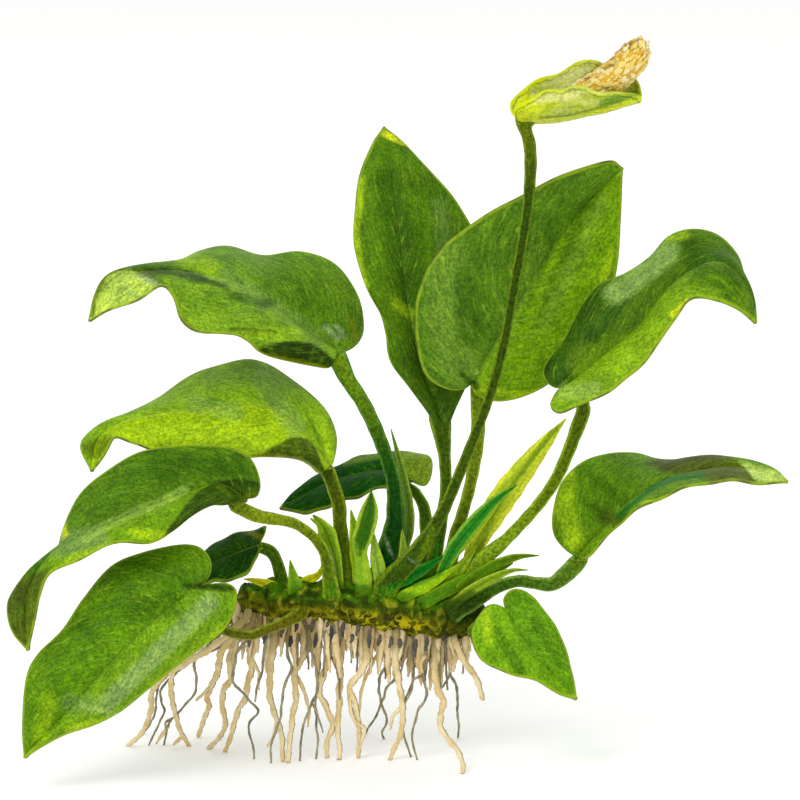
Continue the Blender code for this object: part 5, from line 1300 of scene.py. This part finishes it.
def root_mesh(places, widths, seed, first=0, sides=10):
    """Points, faces and marks of a wriggling root."""
    line = smooth_line(places, max(12, round(line_length(places) / ROOT_STEP)))
    lengths = np.linspace(0, line_length(line), len(line))
    for axis in (0, 1):
        wriggle = [noise.noise(Vector((length / 2.6, seed * 3.7, axis * 9.1))) for length in lengths]
        line[:, axis] += WANDER * np.array(wriggle) * np.sin(np.linspace(0, math.pi, len(line))) ** 0.5

    def reach(share, turn):
        passed = share * lengths[-1]
        knots = 1 + 0.14 * np.sin(passed * 2.1 + seed) + 0.1 * np.sin(passed * 5.3 + turn)
        return at(widths, share) * knots, at(widths, share) * knots

    return tube(line, sides, reach, first, ROOT_LIFT)


def add_joined(name, roots, material, slot):
    """Several roots as one piece. Each is given as its path, widths and seed."""
    made, first = [], 0
    for places, widths, seed in roots:
        made.append(root_mesh(places, widths, seed, first, 8))
        first += len(made[-1][0])
    points, faces, along, turn = zip(*made)
    add_piece(name, np.vstack(points), sum(faces, []), material, slot, along=np.concatenate(along) + 0.1,
              sideways=np.concatenate(turn))


def make_roots():
    """The main roots, then the side roots, the mat and the stubs, each joined into a piece of one colour."""
    tan = root_finish("root_tan_look", (224, 198, 142), (240, 222, 178), (192, 164, 108), (120, 110, 84))
    grey = root_finish("root_grey_look", (128, 122, 98), (170, 160, 128), (96, 92, 80), (84, 82, 76))
    dark = root_finish("root_dark_look", (66, 64, 62), (100, 96, 88), (44, 42, 42), (44, 42, 42))
    paths = [root_path(points, depth, depth_on_floor(*points[-1])) for depth, points in LANDING_ROOTS]
    paths += [root_path(points, depth, end_depth) for depth, end_depth, points in HANGING_ROOTS]
    for number, path in enumerate(paths, start=1):
        name = f"root_{number:02d}"
        widths, material = (TAN_WIDTHS, tan) if number % 2 else (GREY_WIDTHS, grey)
        points, faces, along, turn = root_mesh(path, widths, number)
        add_piece(f"{name}_skin", points, faces, material, SLOT_OF[name], [name], along=along, sideways=turn)
    for group, roots in (("side_roots", side_roots(paths)), ("mat_roots", mat_roots())):
        add_joined(f"{group}_tan", roots["tan"], tan, "root_tan")
        add_joined(f"{group}_grey", roots["grey"], grey, "root_grey")
    stubs = []
    for number, (across, start, end) in enumerate(STUBS):
        points = (across, start, -3.4), (across - 0.1, (start + end) / 2, -4.4), (across - 0.3, end, -4.4)
        stubs.append((seen(points), STUB_WIDTHS, 200 + number))
    add_joined("root_stubs", stubs, dark, "root_grey")


def side_roots(paths):
    """Fine roots that leave the main ones, every third one grey."""
    sides = {"tan": [], "grey": []}
    for number, (parent, points) in enumerate(SIDE_ROOTS):
        line = smooth_line(paths[parent - 1], 200)
        across, up = drawn(line)
        start = line[np.hypot(across - points[0][0], up - points[0][1]).argmin()]
        depth = start[1] - LOOKED_AT[1]
        places = seen([(*point, min(depth, depth_on_floor(*point))) for point in points[1:]])
        kind, widths = ("grey", GREY_SIDE_WIDTHS) if number % 3 == 2 else ("tan", TAN_SIDE_WIDTHS)
        sides[kind].append((np.vstack([start, places]), widths, 60 + number))
    return sides


def mat_roots():
    """The dense mat of short roots under the rhizome, every fourth one grey."""
    noise.seed_set(11)
    axis = smooth_line(seen(RHIZOME_LINE), 200)
    mats = {"tan": [], "grey": []}
    for number in range(MAT_ROOTS):
        share = (number + noise.random()) / MAT_ROOTS * MAT_REACH
        head = at(axis, share)
        deep = MAT_DEPTH * (noise.random() - 0.5)
        length = at(RHIZOME_WIDTHS, share) + MAT_LENGTHS[0] + MAT_LENGTHS[1] * noise.random() ** 1.7
        lean = MAT_LEAN * (noise.random() - 0.5) - 1.2 * (share < 0.2)
        steps = np.linspace(0, 1, 4)
        shifts = np.stack([lean * steps ** 1.5, deep * (0.4 + 0.6 * steps), -length * steps], axis=1)
        kind = "grey" if number % 4 == 3 else "tan"
        wide = 0.75 + 0.3 * noise.random() if kind == "tan" else 0.32
        mats[kind].append((head + shifts, (wide, wide, 0.8 * wide, 0.2), 100 + number))
    return mats


# ---- Stage ----

def put(name, data, place=(0, 0, 0), looks=None):
    """Puts an object into the scene, looking along a direction where one is given."""
    thing = bpy.data.objects.new(name, data)
    thing.location = place
    if looks is not None:
        thing.rotation_euler = Vector(looks).to_track_quat("-Z", "Y").to_euler()
    bpy.context.collection.objects.link(thing)
    return thing


def add_stage():
    """A wide pale floor, soft lamps, a white studio and the camera."""
    mesh = bpy.data.meshes.new("floor")
    sides = (-FLOOR_HALF, FLOOR_HALF)
    mesh.from_pydata([(x, y, 0) for y in sides for x in sides], [], [(0, 1, 3, 2)])
    finish = Finish("floor", roughness=0.8, specular=0.1)
    finish.base = finish.mix(finish.noise(3.0, 2.0, 0.55), (253, 253, 252), (255, 255, 254))
    mesh.materials.append(finish.finished(value=1.0, saturation=1.0))
    floor = put("floor", mesh)

    for name, place, size, power in LAMPS:
        lamp = bpy.data.lights.new(name, "AREA")
        lamp.shape, lamp.size, lamp.energy = "DISK", size, power
        put(name, lamp, place, LOOKED_AT * MM - place)
    world = bpy.data.worlds.new("studio")
    world.use_nodes = True
    world.node_tree.nodes["Background"].inputs["Color"].default_value = (1, 1, 1, 1)
    world.node_tree.nodes["Background"].inputs["Strength"].default_value = WORLD_STRENGTH
    bpy.context.scene.world = world
    bpy.context.scene.view_settings.view_transform = "Standard"

    lens = bpy.data.cameras.new("camera")
    lens.lens, lens.sensor_width = LENS, SENSOR
    lens.clip_start, lens.clip_end = CLIP
    bpy.context.scene.camera = put("camera", lens, EYE * MM, EYE_AHEAD)


add_stage()
make_rhizome()
make_stalks(make_blades())
make_young_leaves()
make_flower()
make_roots()
